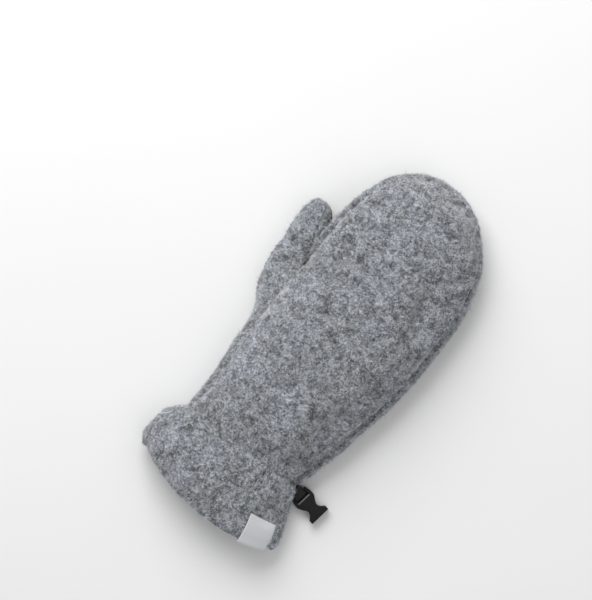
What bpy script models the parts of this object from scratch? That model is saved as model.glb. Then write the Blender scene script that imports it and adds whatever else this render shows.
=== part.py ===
"""A fleece mitten for the right hand, lying palm down.

The mitten is sewn from panels, so it is modelled as one skin that is cut along its seams. The skin
is a net of rings: each ring runs round the mitten, over the back of the hand, down the little
finger's side, across the palm and up the thumb's side. At the crotch of the thumb the net splits
into two legs, one for the fingers and one for the thumb. Every panel is the part of the net between
its seams, thickened inwards by the thickness of its cloth.

Metres, +Z up. The fingertips point along +Y, the thumb lies on the -X side, the palm rests on z = 0.
"""

import math
from typing import NamedTuple

import bmesh
import bpy
import numpy as np
from mathutils import Matrix, Vector
from mathutils.bvhtree import BVHTree

# Lengths along the mitten
WRIST_TO_TIP = 0.2338
HEM_TO_WRIST = 0.0548
CROTCH_TO_THUMB_TIP = 0.0455

# Widths
HAND_WIDTH = 0.1160
WRIST_WIDTH = 0.0962
CUFF_WIDTH = 0.1226
THUMB_REACH = 0.0212
THUMB_WIDTH = 0.0280

# Heights above the surface that the mitten lies on
HAND_RISE = 0.0420
WRIST_RISE = 0.0315
CUFF_RISE = 0.0340
SEAM_RISE = 0.0210
THUMB_RISE = 0.0180
THUMB_FLOOR_GAP = 0.0003

# The side band, as it shows from above and from below
BAND_TOP = 0.0038
BAND_UNDER = 0.0160

# Cloth, and the gap at every seam
FLEECE_WALL = 0.0030
LEATHER_WALL = 0.0018
SEAM_GAP = 0.0003

# The cloth is trimmed thin where its seams meet in the thumb's crotch
CROTCH_WALL = 0.0010
CROTCH_REACH = 0.0180

# Gathers at the elastic of the wrist
GATHERS = 12
GATHER_DEPTH = 0.0009
GATHER_REACH = 0.0130

# The corded seam in the palm, in a shallow valley
WELT_RADIUS = 0.0010
WELT_SIDES = 8
WELT_CLEARANCE = 0.0004
WELT_VALLEY = 0.0036
VALLEY_COLUMNS = 2.6
PALM_EDGE_RISE = 0.0008

# The woven label folded over the hem
LABEL_WIDTH = 0.0188
LABEL_LENGTH = 0.0185
LABEL_TUCK = 0.0110
LABEL_THICKNESS = 0.0007
LABEL_CENTRE = 0.0425
LABEL_CLEARANCE = 0.0003

# The strap and the buckle socket, on a slanting line from the middle of the wrist
STRAP_LINE_Y = 0.0043
STRAP_SLOPE = 0.0026
WEBBING_WIDTH = 0.0100
WEBBING_THICKNESS = 0.0011
WEBBING_CLEARANCE = 0.0004
BUCKLE_LENGTH = 0.0228
BUCKLE_WIDTH = 0.0153
BUCKLE_HEIGHT = 0.0068
BUCKLE_WALL = 0.0012
BUCKLE_CLEARANCE = 0.0004
BUCKLE_FLOOR_GAP = 0.0003
BUCKLE_MOUTH_DEPTH = 0.0138
BUCKLE_TURN = math.radians(-9.4)
CROSSBAR_START = 0.0008
CROSSBAR_LENGTH = 0.0026
CROSSBAR_HEIGHT = 0.0020
CUTTER_MARGIN = 0.0010

# Cells of the net: round the mitten, then along it
BACK_CELLS = 18
BAND_CELLS = 6
PALM_CELLS = 18
THUMB_PALM_CELLS = 8
LENS_CELLS = 6
CUFF_ROWS = 6
HEEL_ROWS = 12
FINGER_ROWS = 15
FINGERTIP_ROW = 6
THUMB_ROWS = 11
THUMB_BLEND_ROWS = 5
THUMB_PANEL_CELLS = 8
THUMB_STRIP_CELLS = 6

# Columns where one stretch of a ring ends and the next begins
PINKY_SEAM = BACK_CELLS
PINKY_PALM = PINKY_SEAM + BAND_CELLS
RIDGE = PINKY_PALM + PALM_CELLS - THUMB_PALM_CELLS
THUMB_PALM = PINKY_PALM + PALM_CELLS
RING = THUMB_PALM + BAND_CELLS
HALF_THUMB = RING - RIDGE
THUMB_RING = 2 * HALF_THUMB
RIDGE_ACROSS = -0.2

# How the net is evened out where its cells are skewed or their inner side would fold over
EASE_ROUNDS = 8
EASE_FOLD_SHARE = 0.3
EASE_SKEW_SHARE = 0.35

# How normals are evened out, then turned to face the cells round them
NORMAL_ROUNDS = 2
FACING_ROUNDS = 20
SKIN_FACING_SHARE = 0.15
PANEL_FACING_SHARE = 0.5

# How the cloth is thinned where its two sides would cross
THINNING_ROUNDS = 10
THINNING_SHARE = 0.88


class Outline(NamedTuple):
    """A ring from above: along, bow and dip are shares of run, edges and ridge of width."""

    run: float
    along_thumb: float
    along_pinky: float
    bow: float
    dip: float
    width: float
    thumb_edge: float
    pinky_edge: float
    ridge: float
    lens: float
    heel: float


class Profile(NamedTuple):
    """A ring's heights: crown is a share of rise, seams of the seam's, lift of the thumb's.

    Bulge is how round the thumb's side is, and lean how far the side bands face the fingertips.
    """

    rise: float
    crown: float
    seam_thumb: float
    seam_pinky: float
    lift: float
    bulge: float
    valley: float
    lean: float


HEM = HEM_TO_WRIST
RUN = WRIST_TO_TIP
CUFF = CUFF_WIDTH
WRIST = WRIST_WIDTH
HAND = HAND_WIDTH

CUFF_OUTLINES = [
    Outline(HEM, -0.75, -0.85, -0.215, 0.000, CUFF, -0.493, 0.476, 0.020, -0.15, 0.00),
    Outline(HEM, -0.61, -0.66, -0.130, 0.000, CUFF, -0.533, 0.465, 0.020, -0.15, 0.00),
    Outline(HEM, -0.41, -0.43, -0.075, 0.000, CUFF, -0.530, 0.426, 0.020, -0.13, 0.00),
    Outline(HEM, -0.18, -0.19, -0.035, 0.000, CUFF, -0.498, 0.385, 0.025, -0.09, 0.00),
    Outline(RUN, 0.000, 0.000, 0.000, 0.000, WRIST, -0.535, 0.465, 0.040, -0.05, 0.00),
]
CUFF_PROFILES = [
    Profile(CUFF_RISE, 0.88, 0.74, 0.70, 0.00, 1.0, 0.0, 0.0),
    Profile(CUFF_RISE, 1.00, 0.84, 0.78, 0.00, 1.0, 0.0, 0.0),
    Profile(CUFF_RISE, 1.02, 0.86, 0.80, 0.00, 1.0, 0.05, 0.0),
    Profile(CUFF_RISE, 0.98, 0.84, 0.78, 0.00, 1.0, 0.4, 0.0),
    Profile(WRIST_RISE, 1.00, 0.80, 0.76, 0.00, 1.0, 1.0, 0.0),
]
HAND_OUTLINES = [
    CUFF_OUTLINES[-1],
    Outline(RUN, 0.113, 0.113, 0.000, 0.010, HAND, -0.431, 0.444, 0.005, -0.10, 0.00),
    Outline(RUN, 0.250, 0.250, 0.000, 0.028, HAND, -0.450, 0.504, -0.043, -0.20, 0.02),
    Outline(RUN, 0.353, 0.353, 0.000, 0.052, HAND, -0.448, 0.547, -0.078, -0.28, 0.10),
    Outline(RUN, 0.438, 0.438, 0.000, 0.070, HAND, -0.437, 0.569, -0.103, -0.33, 0.60),
    Outline(RUN, 0.541, 0.541, 0.000, 0.086, HAND, -0.425, 0.576, -0.112, -0.36, 0.90),
    Outline(RUN, 0.635, 0.635, 0.003, 0.055, HAND, -0.420, 0.578, -0.112, -0.36, 0.90),
    Outline(RUN, 0.742, 0.742, 0.009, 0.016, HAND, -0.405, 0.565, -0.095, -0.36, 0.90),
    Outline(RUN, 0.828, 0.828, 0.019, 0.000, HAND, -0.366, 0.517, -0.060, -0.36, 0.90),
    Outline(RUN, 0.864, 0.864, 0.038, 0.000, HAND, -0.340, 0.478, -0.034, -0.36, 0.90),
    Outline(RUN, 0.882, 0.882, 0.061, 0.000, HAND, -0.320, 0.444, -0.014, -0.36, 0.90),
    Outline(RUN, 0.894, 0.894, 0.086, 0.000, HAND, -0.303, 0.414, 0.000, -0.36, 0.90),
]
HAND_PROFILES = [
    CUFF_PROFILES[-1],
    Profile(HAND_RISE, 0.88, 0.90, 0.88, 0.00, 1.0, 1.0, 0.00),
    Profile(HAND_RISE, 0.96, 0.97, 0.97, 0.10, 1.0, 1.0, 0.00),
    Profile(HAND_RISE, 1.00, 0.98, 1.00, 0.30, 1.0, 1.0, 0.00),
    Profile(HAND_RISE, 1.00, 0.96, 1.00, 0.50, 0.6, 1.0, 0.00),
    Profile(HAND_RISE, 1.00, 0.94, 1.00, 0.50, 0.2, 1.0, 0.00),
    Profile(HAND_RISE, 1.00, 1.22, 1.00, 0.97, 0.9, 0.4, 0.00),
    Profile(HAND_RISE, 0.97, 1.28, 1.00, 0.95, 1.0, 0.05, 0.12),
    Profile(HAND_RISE, 0.91, 1.12, 0.99, 0.52, 1.0, 0.0, 0.32),
    Profile(HAND_RISE, 0.82, 1.03, 0.98, 0.24, 1.0, 0.0, 0.55),
    Profile(HAND_RISE, 0.69, 0.99, 0.98, 0.11, 1.0, 0.0, 0.78),
    Profile(HAND_RISE, 0.49, 0.98, 0.98, 0.05, 1.0, 0.0, 1.00),
]
CROTCH_PLACE = 5
TIP_PLACE = 11
TIP_LEAN = math.radians(42)


class Station(NamedTuple):
    """The thumb's cross-section. Along runs from the crotch to the tip, reach past the hand."""

    along: float
    reach: float
    width: float
    rise: float


THUMB_STATIONS = [
    Station(0.00, 0.93, 1.16, 1.00),
    Station(0.30, 0.97, 1.09, 1.00),
    Station(0.55, 1.00, 0.99, 1.00),
    Station(0.78, 0.99, 0.86, 0.98),
    Station(0.90, 0.92, 0.69, 0.86),
    Station(0.97, 0.80, 0.46, 0.56),
]
THUMB_ROOT_SHARE = 0.42
THUMB_CAP_SHARE = 0.03
THUMB_CORNER_POWER = 0.88


class Bearing(NamedTuple):
    """Where a cell of the thumb's ring lies on its section, in degrees from the inner side."""

    cell: int
    degrees: float


THUMB_BEARINGS = [
    Bearing(0, -40.0),
    Bearing(6, -118.0),
    Bearing(8, -142.0),
    Bearing(11, -190.0),
    Bearing(14, -285.0),
    Bearing(28, -400.0),
]


class Dent(NamedTuple):
    """A shallow dent in the back: its place and size are shares of the hand, depth of the rise."""

    along: float
    across: float
    size: float
    depth: float


DENTS = [
    Dent(0.617, 0.405, 0.120, 0.040),
    Dent(0.831, 0.400, 0.110, 0.030),
    Dent(0.090, -0.260, 0.100, 0.030),
    Dent(-0.030, -0.190, 0.130, 0.045),
    Dent(0.330, 0.455, 0.080, 0.030),
]


class Waist(NamedTuple):
    """The buckle's outline: a share of its length from the strap, and of half its width."""

    along: float
    half: float


BUCKLE_OUTLINE = [
    Waist(0.00, 0.88),
    Waist(0.12, 0.94),
    Waist(0.22, 1.00),
    Waist(0.34, 1.00),
    Waist(0.46, 0.82),
    Waist(0.58, 0.58),
    Waist(0.68, 0.54),
    Waist(0.78, 0.70),
    Waist(0.87, 1.00),
    Waist(1.00, 1.00),
]

FLEECE_GREY = (0.26, 0.27, 0.285)
PALM_BLACK = (0.020, 0.016, 0.015)
FINGERTIP_BLACK = (0.028, 0.027, 0.030)
WEBBING_BLACK = (0.012, 0.012, 0.013)
BUCKLE_BLACK = (0.010, 0.010, 0.011)
LABEL_GREY = (0.60, 0.61, 0.63)

PANELS = {
    "back_panel": (FLEECE_WALL, FLEECE_GREY, 0.95),
    "side_band": (FLEECE_WALL, FLEECE_GREY, 0.95),
    "cuff": (FLEECE_WALL, FLEECE_GREY, 0.95),
    "thumb_panel": (FLEECE_WALL, FLEECE_GREY, 0.95),
    "thumb_strip": (FLEECE_WALL, FLEECE_GREY, 0.95),
    "palm_leather": (LEATHER_WALL, PALM_BLACK, 0.55),
    "fingertip_leather": (LEATHER_WALL, FINGERTIP_BLACK, 0.45),
    "thumb_leather": (LEATHER_WALL, PALM_BLACK, 0.50),
}


class Measures(NamedTuple):
    """One ring's measures, worked out from an outline and a profile."""

    along_thumb: float
    along_pinky: float
    bow: float
    dip: float
    thumb_edge: float
    pinky_edge: float
    ridge: float
    lens: float
    heel: float
    crown: float
    seam_thumb: float
    seam_pinky: float
    lift: float
    bulge: float
    valley: float
    lean: float


def measures(outline, profile):
    return np.array(
        [
            outline.along_thumb * outline.run,
            outline.along_pinky * outline.run,
            outline.bow * outline.run,
            outline.dip * outline.run,
            outline.thumb_edge * outline.width,
            outline.pinky_edge * outline.width,
            outline.ridge * outline.width,
            outline.lens * outline.width,
            outline.heel * THUMB_REACH,
            profile.crown * profile.rise,
            profile.seam_thumb * SEAM_RISE,
            profile.seam_pinky * SEAM_RISE,
            profile.lift * THUMB_RISE,
            profile.bulge,
            profile.valley * WELT_VALLEY,
            profile.lean,
        ]
    )


def through(rows, place):
    """The values at a fractional row number, on a smooth curve through the rows."""
    last = len(rows) - 1
    first = min(int(place), last - 1)
    part = place - first
    start = rows[first]
    end = rows[first + 1]
    slope_in = (end - rows[max(first - 1, 0)]) / 2
    slope_out = (rows[min(first + 2, last)] - start) / 2
    cubic = 2 * (start - end) + slope_in + slope_out
    square = 3 * (end - start) - 2 * slope_in - slope_out
    return start + slope_in * part + square * part**2 + cubic * part**3


def ease(part):
    """A smooth step from 0 to 1."""
    part = min(max(part, 0.0), 1.0)
    return part * part * (3 - 2 * part)


def mix(start, end, part):
    return start + (end - start) * part


def bezier(points, part):
    """A point on a cubic curve with four control points."""
    a, b, c, d = points
    rest = 1 - part
    return a * rest**3 + 3 * b * part * rest**2 + 3 * c * part**2 * rest + d * part**3


def unit(vector):
    return vector / max(np.linalg.norm(vector), 1e-12)


def level(ring, across, palm_share):
    """How far along the mitten a ring is at this point. The palm ends short of the fingertips."""
    along = mix(ring.along_thumb, ring.along_pinky, (across + 1) / 2)
    along += ring.bow * (1 - abs(across) ** 2.3)
    if along <= 0:
        return along
    return along * (1 - palm_share * (BAND_UNDER - BAND_TOP) / WRIST_TO_TIP)


def back_point(ring, across):
    """A point on the back of the hand. Across runs from -1 at the thumb's seam to 1."""
    part = (across + 1) / 2
    x = mix(ring.thumb_edge + BAND_TOP, ring.pinky_edge - BAND_TOP, part)
    seam = mix(ring.seam_thumb, ring.seam_pinky, part)
    dome = max(1 - abs(across) ** 2.3, 0.0) ** 0.55
    middle = (ring.seam_thumb + ring.seam_pinky) / 2
    return np.array([x, level(ring, across, 0), seam + (ring.crown - middle) * dome])


def band_point(top, bottom, widest, part, bulge=1.0):
    """A point (x, z) on a side band. It bulges out to its widest between its two seams."""
    reach = (8 * widest - top[0] - bottom[0]) / 6
    drop = top[1] - bottom[1]
    third_x = mix(top[0], bottom[0], 1 / 3)
    two_thirds_x = mix(top[0], bottom[0], 2 / 3)
    x_points = (top[0], mix(third_x, reach, bulge), mix(two_thirds_x, reach, bulge), bottom[0])
    shoulder = mix(top[1] - drop / 3, top[1] - drop * 0.04, bulge)
    foot = mix(bottom[1] + drop / 3, bottom[1] + drop * 0.02, bulge)
    return bezier(x_points, part), bezier((top[1], shoulder, foot, bottom[1]), part)


def band_along(ring, across, part):
    """How far along a side band's point is. Near the fingertips the band bulges forwards too."""
    top = level(ring, across, 0)
    bottom = level(ring, across, 1)
    forward = BAND_TOP * math.sin(ring.lean * TIP_LEAN)
    reach = (8 * (top + forward) - top - bottom) / 6
    return mix(mix(top, bottom, part), bezier((top, reach, reach, bottom), part), ring.lean)


def band_narrowing(ring):
    """How much less a side band sticks out sideways where it bulges forwards."""
    return BAND_TOP * (1 - math.cos(ring.lean * TIP_LEAN))


def back_columns(ring):
    found = []
    for column in range(BACK_CELLS):
        even = 2 * column / BACK_CELLS - 1
        found.append(back_point(ring, (even + math.sin(math.pi / 2 * even)) / 2))
    return found


def pinky_columns(ring):
    top = (ring.pinky_edge - BAND_TOP, ring.seam_pinky)
    bottom = (ring.pinky_edge - BAND_UNDER, PALM_EDGE_RISE)
    found = []
    for column in range(BAND_CELLS):
        part = column / BAND_CELLS
        x, z = band_point(top, bottom, ring.pinky_edge - band_narrowing(ring), part)
        found.append(np.array([x, band_along(ring, 1, part), z]))
    return found


def palm_columns(ring):
    """The palm, from the little finger's side to the ridge of the corded seam."""
    found = []
    cells = RIDGE - PINKY_PALM
    for column in range(cells):
        part = column / cells
        edge = PALM_EDGE_RISE * max(1 - part * 6, 0.0) ** 2
        valley = ring.valley * max(1 - (cells - column) / VALLEY_COLUMNS, 0.0)
        x = mix(ring.pinky_edge - BAND_UNDER, ring.ridge, part)
        y = level(ring, mix(1, RIDGE_ACROSS, part), 1) - ring.dip * ease(part)
        found.append(np.array([x, y, max(edge, valley)]))
    return found


def thumb_side_columns(ring, heel):
    """From the ridge to the back's seam. A heel ring bulges into the thumb, others pass over it."""
    if heel:
        widest = ring.thumb_edge - ring.heel
        bottom = (widest + BAND_UNDER, PALM_EDGE_RISE)
        bulge = 1.0
    else:
        widest = ring.thumb_edge
        bottom = (widest + BAND_UNDER * 0.85, max(ring.lift, PALM_EDGE_RISE))
        bulge = ring.bulge
    top = (ring.thumb_edge + BAND_TOP, ring.seam_thumb)
    found = []
    for column in range(THUMB_PALM_CELLS):
        part = column / THUMB_PALM_CELLS
        if heel and column <= LENS_CELLS:
            x = mix(ring.ridge, ring.lens, column / LENS_CELLS)
        elif heel:
            beyond = (column - LENS_CELLS) / (THUMB_PALM_CELLS - LENS_CELLS)
            x = mix(ring.lens, bottom[0], beyond)
        else:
            x = mix(ring.ridge, bottom[0], part)
        valley = ring.valley * max(1 - column / VALLEY_COLUMNS, 0.0)
        if heel:
            z = max(valley, bottom[1] * ease(part * 3 - 2))
        else:
            z = mix(ring.valley, bottom[1], (ease(part) + part) / 2)
        dip = ring.dip * (1 - ease(column / HALF_THUMB))
        found.append(np.array([x, level(ring, mix(RIDGE_ACROSS, -1, part), 1) - dip, z]))
    for column in range(BAND_CELLS):
        part = column / BAND_CELLS
        x, z = band_point(top, bottom, widest + band_narrowing(ring), 1 - part, bulge)
        dip = ring.dip * (1 - ease((column + THUMB_PALM_CELLS) / HALF_THUMB))
        found.append(np.array([x, band_along(ring, -1, 1 - part) - dip, z]))
    return found


def ring_points(ring, heel):
    found = back_columns(ring) + pinky_columns(ring) + palm_columns(ring)
    return found + thumb_side_columns(ring, heel)


def rings(outlines, profiles, places, heel):
    rows = [measures(outline, profile) for outline, profile in zip(outlines, profiles)]
    return [ring_points(Measures(*through(rows, place)), heel) for place in places]


def fingertip_cap(last):
    """The side band across the fingertips, from the last ring's back down to its palm."""
    grid = []
    for column in range(BACK_CELLS + 1):
        top = last[column]
        bottom = last[THUMB_PALM - column]
        tangent = last[min(column + 1, BACK_CELLS)] - last[max(column - 1, 0)]
        outward = unit(np.array([-tangent[1], tangent[0], 0.0]))
        reach = (8 * (top + outward * BAND_TOP) - top - bottom) / 6
        drop = top[2] - bottom[2]
        shoulder = np.array([reach[0], reach[1], top[2] - drop * 0.04])
        foot = np.array([reach[0], reach[1], bottom[2] + drop * 0.02])
        curve = (top, shoulder, foot, bottom)
        grid.append([bezier(curve, row / BAND_CELLS) for row in range(BAND_CELLS + 1)])
    grid[0] = [last[(RING - row) % RING] for row in range(BAND_CELLS + 1)]
    grid[-1] = [last[PINKY_SEAM + row] for row in range(BAND_CELLS + 1)]
    return grid


def thumb_section(station, angle):
    """A point (x, z) on the thumb's rounded section, which rests on the floor."""
    _, reach, width, rise = station
    half_width = width * THUMB_WIDTH / 2
    half_rise = rise * THUMB_RISE / 2
    outer = -(THUMB_ROOT_SHARE * HAND_WIDTH + reach * THUMB_REACH)
    cosine = math.cos(angle)
    sine = math.sin(angle)
    x = outer + half_width * (1 + math.copysign(abs(cosine) ** THUMB_CORNER_POWER, cosine))
    z = THUMB_RISE / 2 + half_rise * math.copysign(abs(sine) ** THUMB_CORNER_POWER, sine)
    return x, z + THUMB_FLOOR_GAP


def thumb_rings(heel_ring, hand_ring):
    """The thumb's rings. The first is the mouth that the crotch leaves, and each is rounder."""
    mouth = heel_ring[RIDGE:] + heel_ring[:1] + hand_ring[:RIDGE:-1]
    tip = heel_ring[0][1] + CROTCH_TO_THUMB_TIP
    stations = [np.array(station) for station in THUMB_STATIONS]
    cells, degrees = zip(*THUMB_BEARINGS)
    angles = np.radians(np.interp(range(THUMB_RING), cells, degrees))
    found = [mouth]
    for row in range(1, THUMB_ROWS + 1):
        station = through(stations, row / THUMB_ROWS * (len(stations) - 1))
        blend = ease(row / THUMB_BLEND_ROWS)
        ring = []
        for start, angle in zip(mouth, angles):
            x, z = thumb_section(station, angle)
            y = mix(start[1], tip, station[0])
            ring.append(np.array([mix(start[0], x, blend), y, mix(start[2], z, blend)]))
        found.append(ring)
    return found


def thumb_cap(last):
    """A patch that closes the thumb's last ring, pushed out to the tip of the thumb."""
    wide = LENS_CELLS
    high = THUMB_PANEL_CELLS
    grid = [[last[0]] * (high + 1) for _ in range(wide + 1)]
    corners = last[0], last[wide], last[wide + high], last[2 * wide + high]
    for i in range(wide + 1):
        for j in range(high + 1):
            u = i / wide
            v = j / high
            bottom = last[i]
            right = last[wide + j]
            top = last[2 * wide + high - i]
            left = last[(THUMB_RING - j) % THUMB_RING]
            sides = mix(bottom, top, v) + mix(left, right, u)
            point = sides - mix(mix(corners[0], corners[1], u), mix(corners[3], corners[2], u), v)
            swell = 16 * u * (1 - u) * v * (1 - v)
            point = point + np.array([0, THUMB_CAP_SHARE * CROTCH_TO_THUMB_TIP * swell**0.6, 0])
            grid[i][j] = point
    return grid


def corner_turns(points, quads):
    """The cross product of the two sides at each corner of each cell."""
    found = []
    for corner in range(4):
        here = points[quads[:, corner]]
        ahead = points[quads[:, (corner + 1) % 4]] - here
        behind = points[quads[:, (corner + 3) % 4]] - here
        found.append(np.cross(ahead, behind))
    return np.array(found)


def cell_normals(points, quads):
    across = points[quads[:, 2]] - points[quads[:, 0]]
    up = points[quads[:, 3]] - points[quads[:, 1]]
    found = np.cross(across, up)
    return found / np.linalg.norm(found, axis=1, keepdims=True)


def turned(points, normals, quads, least):
    """The points' normals, each turned until it faces all of these cells that it is a corner of."""
    cells = cell_normals(points, quads)
    found = normals.copy()
    for _ in range(FACING_ROUNDS):
        lacking = np.maximum(least - (found[quads] * cells[:, None]).sum(axis=2), 0.0)
        for corner in range(4):
            np.add.at(found, quads[:, corner], cells * lacking[:, corner, None])
        found /= np.linalg.norm(found, axis=1, keepdims=True)
    return found


class Skin:
    """The net: welded points, and quads that each belong to a panel."""

    def __init__(self):
        self.points = []
        self.numbers = {}
        self.quads = []
        self.tags = []

    def number(self, point):
        """The number of the point here, which is new or the one that is already here."""
        key = tuple(round(value * 1e7) for value in point)
        if key not in self.numbers:
            self.numbers[key] = len(self.points)
            self.points.append(point)
        return self.numbers[key]

    def quad(self, corners, tag):
        self.quads.append([self.number(corner) for corner in corners])
        self.tags.append(tag)

    def tube(self, found, tag_of):
        """Cells between closed rings. tag_of names the panel of a row and column."""
        for row, (near, far) in enumerate(zip(found, found[1:])):
            for column in range(len(near)):
                after = (column + 1) % len(near)
                corners = near[column], near[after], far[after], far[column]
                self.quad(corners, tag_of(row, column))

    def patch(self, grid, tag):
        for near, far in zip(grid, grid[1:]):
            for row in range(len(near) - 1):
                self.quad((near[row], far[row], far[row + 1], near[row + 1]), tag)

    def normals(self):
        """The normal at every point, evened out with its neighbours'."""
        points = np.array(self.points)
        quads = np.array(self.quads)
        cells = cell_normals(points, quads)
        found = np.zeros_like(points)
        for corner in range(4):
            np.add.at(found, quads[:, corner], cells)
        found /= np.linalg.norm(found, axis=1, keepdims=True)
        for _ in range(NORMAL_ROUNDS):
            even = found.copy()
            for corner in range(4):
                np.add.at(even, quads[:, corner], found[quads[:, (corner + 1) % 4]] / 2)
                np.add.at(even, quads[:, corner], found[quads[:, (corner + 3) % 4]] / 2)
            found = even / np.linalg.norm(even, axis=1, keepdims=True)
        return found

    def even_points(self):
        """The middle of every point's neighbours."""
        points = np.array(self.points)
        quads = np.array(self.quads)
        sums = np.zeros_like(points)
        counts = np.zeros(len(points))
        for corner in range(4):
            for other in ((corner + 1) % 4, (corner + 3) % 4):
                np.add.at(sums, quads[:, corner], points[quads[:, other]])
                np.add.at(counts, quads[:, corner], 1)
        return sums / counts[:, None]


def cuff_tag(row, column):
    return "cuff"


def heel_tag(row, column):
    if column < PINKY_SEAM:
        return "back_panel"
    if column < PINKY_PALM:
        return "side_band"
    if column < RIDGE:
        return "palm_leather"
    if column < RIDGE + LENS_CELLS:
        return "thumb_leather"
    return "thumb_panel"


def finger_tag(row, column):
    if column < PINKY_SEAM:
        return "back_panel"
    if column < PINKY_PALM or column >= THUMB_PALM:
        return "side_band"
    if row >= FINGERTIP_ROW:
        return "fingertip_leather"
    return "palm_leather"


def thumb_tag(row, column):
    if column < LENS_CELLS or column >= HALF_THUMB + THUMB_STRIP_CELLS:
        return "thumb_leather"
    if column < HALF_THUMB:
        return "thumb_panel"
    return "thumb_strip"


def sewn_skin():
    """The whole net, the cuff's and the heel's rings, and the points of the thumb's crotch."""
    cuff = rings(CUFF_OUTLINES, CUFF_PROFILES, np.linspace(0, 4, CUFF_ROWS + 1), True)
    heel_places = np.linspace(0, CROTCH_PLACE, HEEL_ROWS + 1)
    heel = rings(HAND_OUTLINES, HAND_PROFILES, heel_places, True)
    finger_places = np.linspace(CROTCH_PLACE, TIP_PLACE, FINGER_ROWS + 1)
    fingers = rings(HAND_OUTLINES, HAND_PROFILES, finger_places, False)
    thumb = thumb_rings(heel[-1], fingers[0])
    skin = Skin()
    skin.tube(cuff, cuff_tag)
    skin.tube(heel, heel_tag)
    skin.tube(fingers, finger_tag)
    skin.patch(fingertip_cap(fingers[-1]), "side_band")
    skin.tube(thumb, thumb_tag)
    skin.patch(thumb_cap(thumb[-1]), "thumb_panel")
    crotch = [skin.number(point) for point in fingers[0][RIDGE:] + fingers[0][:1]]
    return skin, cuff, heel, crotch


def gather(point, turn):
    """How deep a gather is here: they run along the mitten and fade away from the wrist."""
    fade = max(1 - abs(point[1]) / GATHER_REACH, 0.0) ** 2
    off_floor = ease((point[2] - 2 * GATHER_DEPTH) / SEAM_RISE * 4)
    return GATHER_DEPTH * fade * off_floor * math.cos(2 * math.pi * GATHERS * turn)


def dent(point):
    """How deep the dents in the back are here."""
    depth = 0.0
    for mark in DENTS:
        away_y = point[1] - mark.along * WRIST_TO_TIP
        away_x = point[0] - mark.across * HAND_WIDTH
        size = mark.size * HAND_WIDTH
        depth += mark.depth * HAND_RISE * math.exp(-(away_x**2 + away_y**2) / size**2)
    return depth


def crumpled(skin):
    """The skin's points with the gathers and dents pressed in."""
    normals = skin.normals()
    found = []
    for point, normal in zip(skin.points, normals):
        turn = math.atan2(point[2] - WRIST_RISE / 2, point[0]) / (2 * math.pi)
        depth = gather(point, turn) + dent(point) * max(normal[2], 0.0)
        found.append(point - normal * depth)
    return found


def seam_insets(points, normals, quads, seams):
    """How far each point of a panel moves away from the panel's seams, within the skin."""
    inward = {}
    for quad in quads:
        for start, end in zip(quad, quad[1:] + quad[:1]):
            if frozenset((start, end)) not in seams:
                continue
            run = unit(points[end] - points[start])
            for corner in (start, end):
                inward.setdefault(corner, []).append(unit(np.cross(normals[corner], run)))
    moves = {}
    for corner, sides in inward.items():
        total = sum(sides)
        spread = 1.0 if len(sides) == 1 else 1 + float(np.dot(sides[0], sides[-1]))
        moves[corner] = SEAM_GAP / 2 * total / max(spread, 0.35)
    return moves


def add_mesh(name, vertices, faces):
    """An object with this mesh, shaded smooth."""
    mesh = bpy.data.meshes.new(name)
    mesh.from_pydata([tuple(vertex) for vertex in vertices], [], faces)
    mesh.polygons.foreach_set("use_smooth", [True] * len(mesh.polygons))
    mesh.update()
    obj = bpy.data.objects.new(name, mesh)
    bpy.context.scene.collection.objects.link(obj)
    return obj


def halved(points, quads):
    """Each cell as two triangles, parted along its shorter diagonal."""
    found = []
    for a, b, c, d in quads:
        if np.linalg.norm(points[a] - points[c]) <= np.linalg.norm(points[b] - points[d]):
            found += [[a, b, c], [a, c, d]]
        else:
            found += [[a, b, d], [b, c, d]]
    return found


def slab_faces(outer, quads):
    """The faces of a closed sheet between two copies of a net, with a rim at the net's edges.

    Both copies are parted along the same diagonals, so that they don't cross in a twisted cell. The
    rim's diagonals follow the order of the points, so that two panels' rims match at a seam.
    """
    count = len(outer)
    triangles = halved(outer, quads)
    edges = {}
    for triangle in triangles:
        for start, end in zip(triangle, triangle[1:] + triangle[:1]):
            edges.setdefault(frozenset((start, end)), []).append((start, end))
    faces = triangles + [[count + corner for corner in reversed(face)] for face in triangles]
    for uses in edges.values():
        if len(uses) > 1:
            continue
        start, end = uses[0]
        if start < end:
            faces.append([end, start, count + end])
            faces.append([start, count + start, count + end])
        else:
            faces.append([end, start, count + start])
            faces.append([end, count + start, count + end])
    return faces


def slab(name, outer, inner, quads):
    """A closed sheet between two copies of a net."""
    return add_mesh(name, list(outer) + list(inner), slab_faces(outer, quads))


def crossed(vertices, faces):
    """The vertices of all faces that run through a face they don't touch."""
    tree = BVHTree.FromPolygons([tuple(vertex) for vertex in vertices], faces)
    found = set()
    for first, second in tree.overlap(tree):
        if not set(faces[first]) & set(faces[second]):
            found.update(faces[first] + faces[second])
    return sorted(found)


def wall_depths(skin, crotch):
    """The cloth's thickness at each point: the thinner cloth's at a seam, less near the crotch."""
    depths = np.full(len(skin.points), FLEECE_WALL)
    for quad, tag in zip(skin.quads, skin.tags):
        depths[quad] = np.minimum(depths[quad], PANELS[tag][0])
    for index, point in enumerate(skin.points):
        away = min(np.linalg.norm(point - skin.points[middle]) for middle in crotch)
        depths[index] = mix(CROTCH_WALL, depths[index], ease(away / CROTCH_REACH))
    return depths


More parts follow.
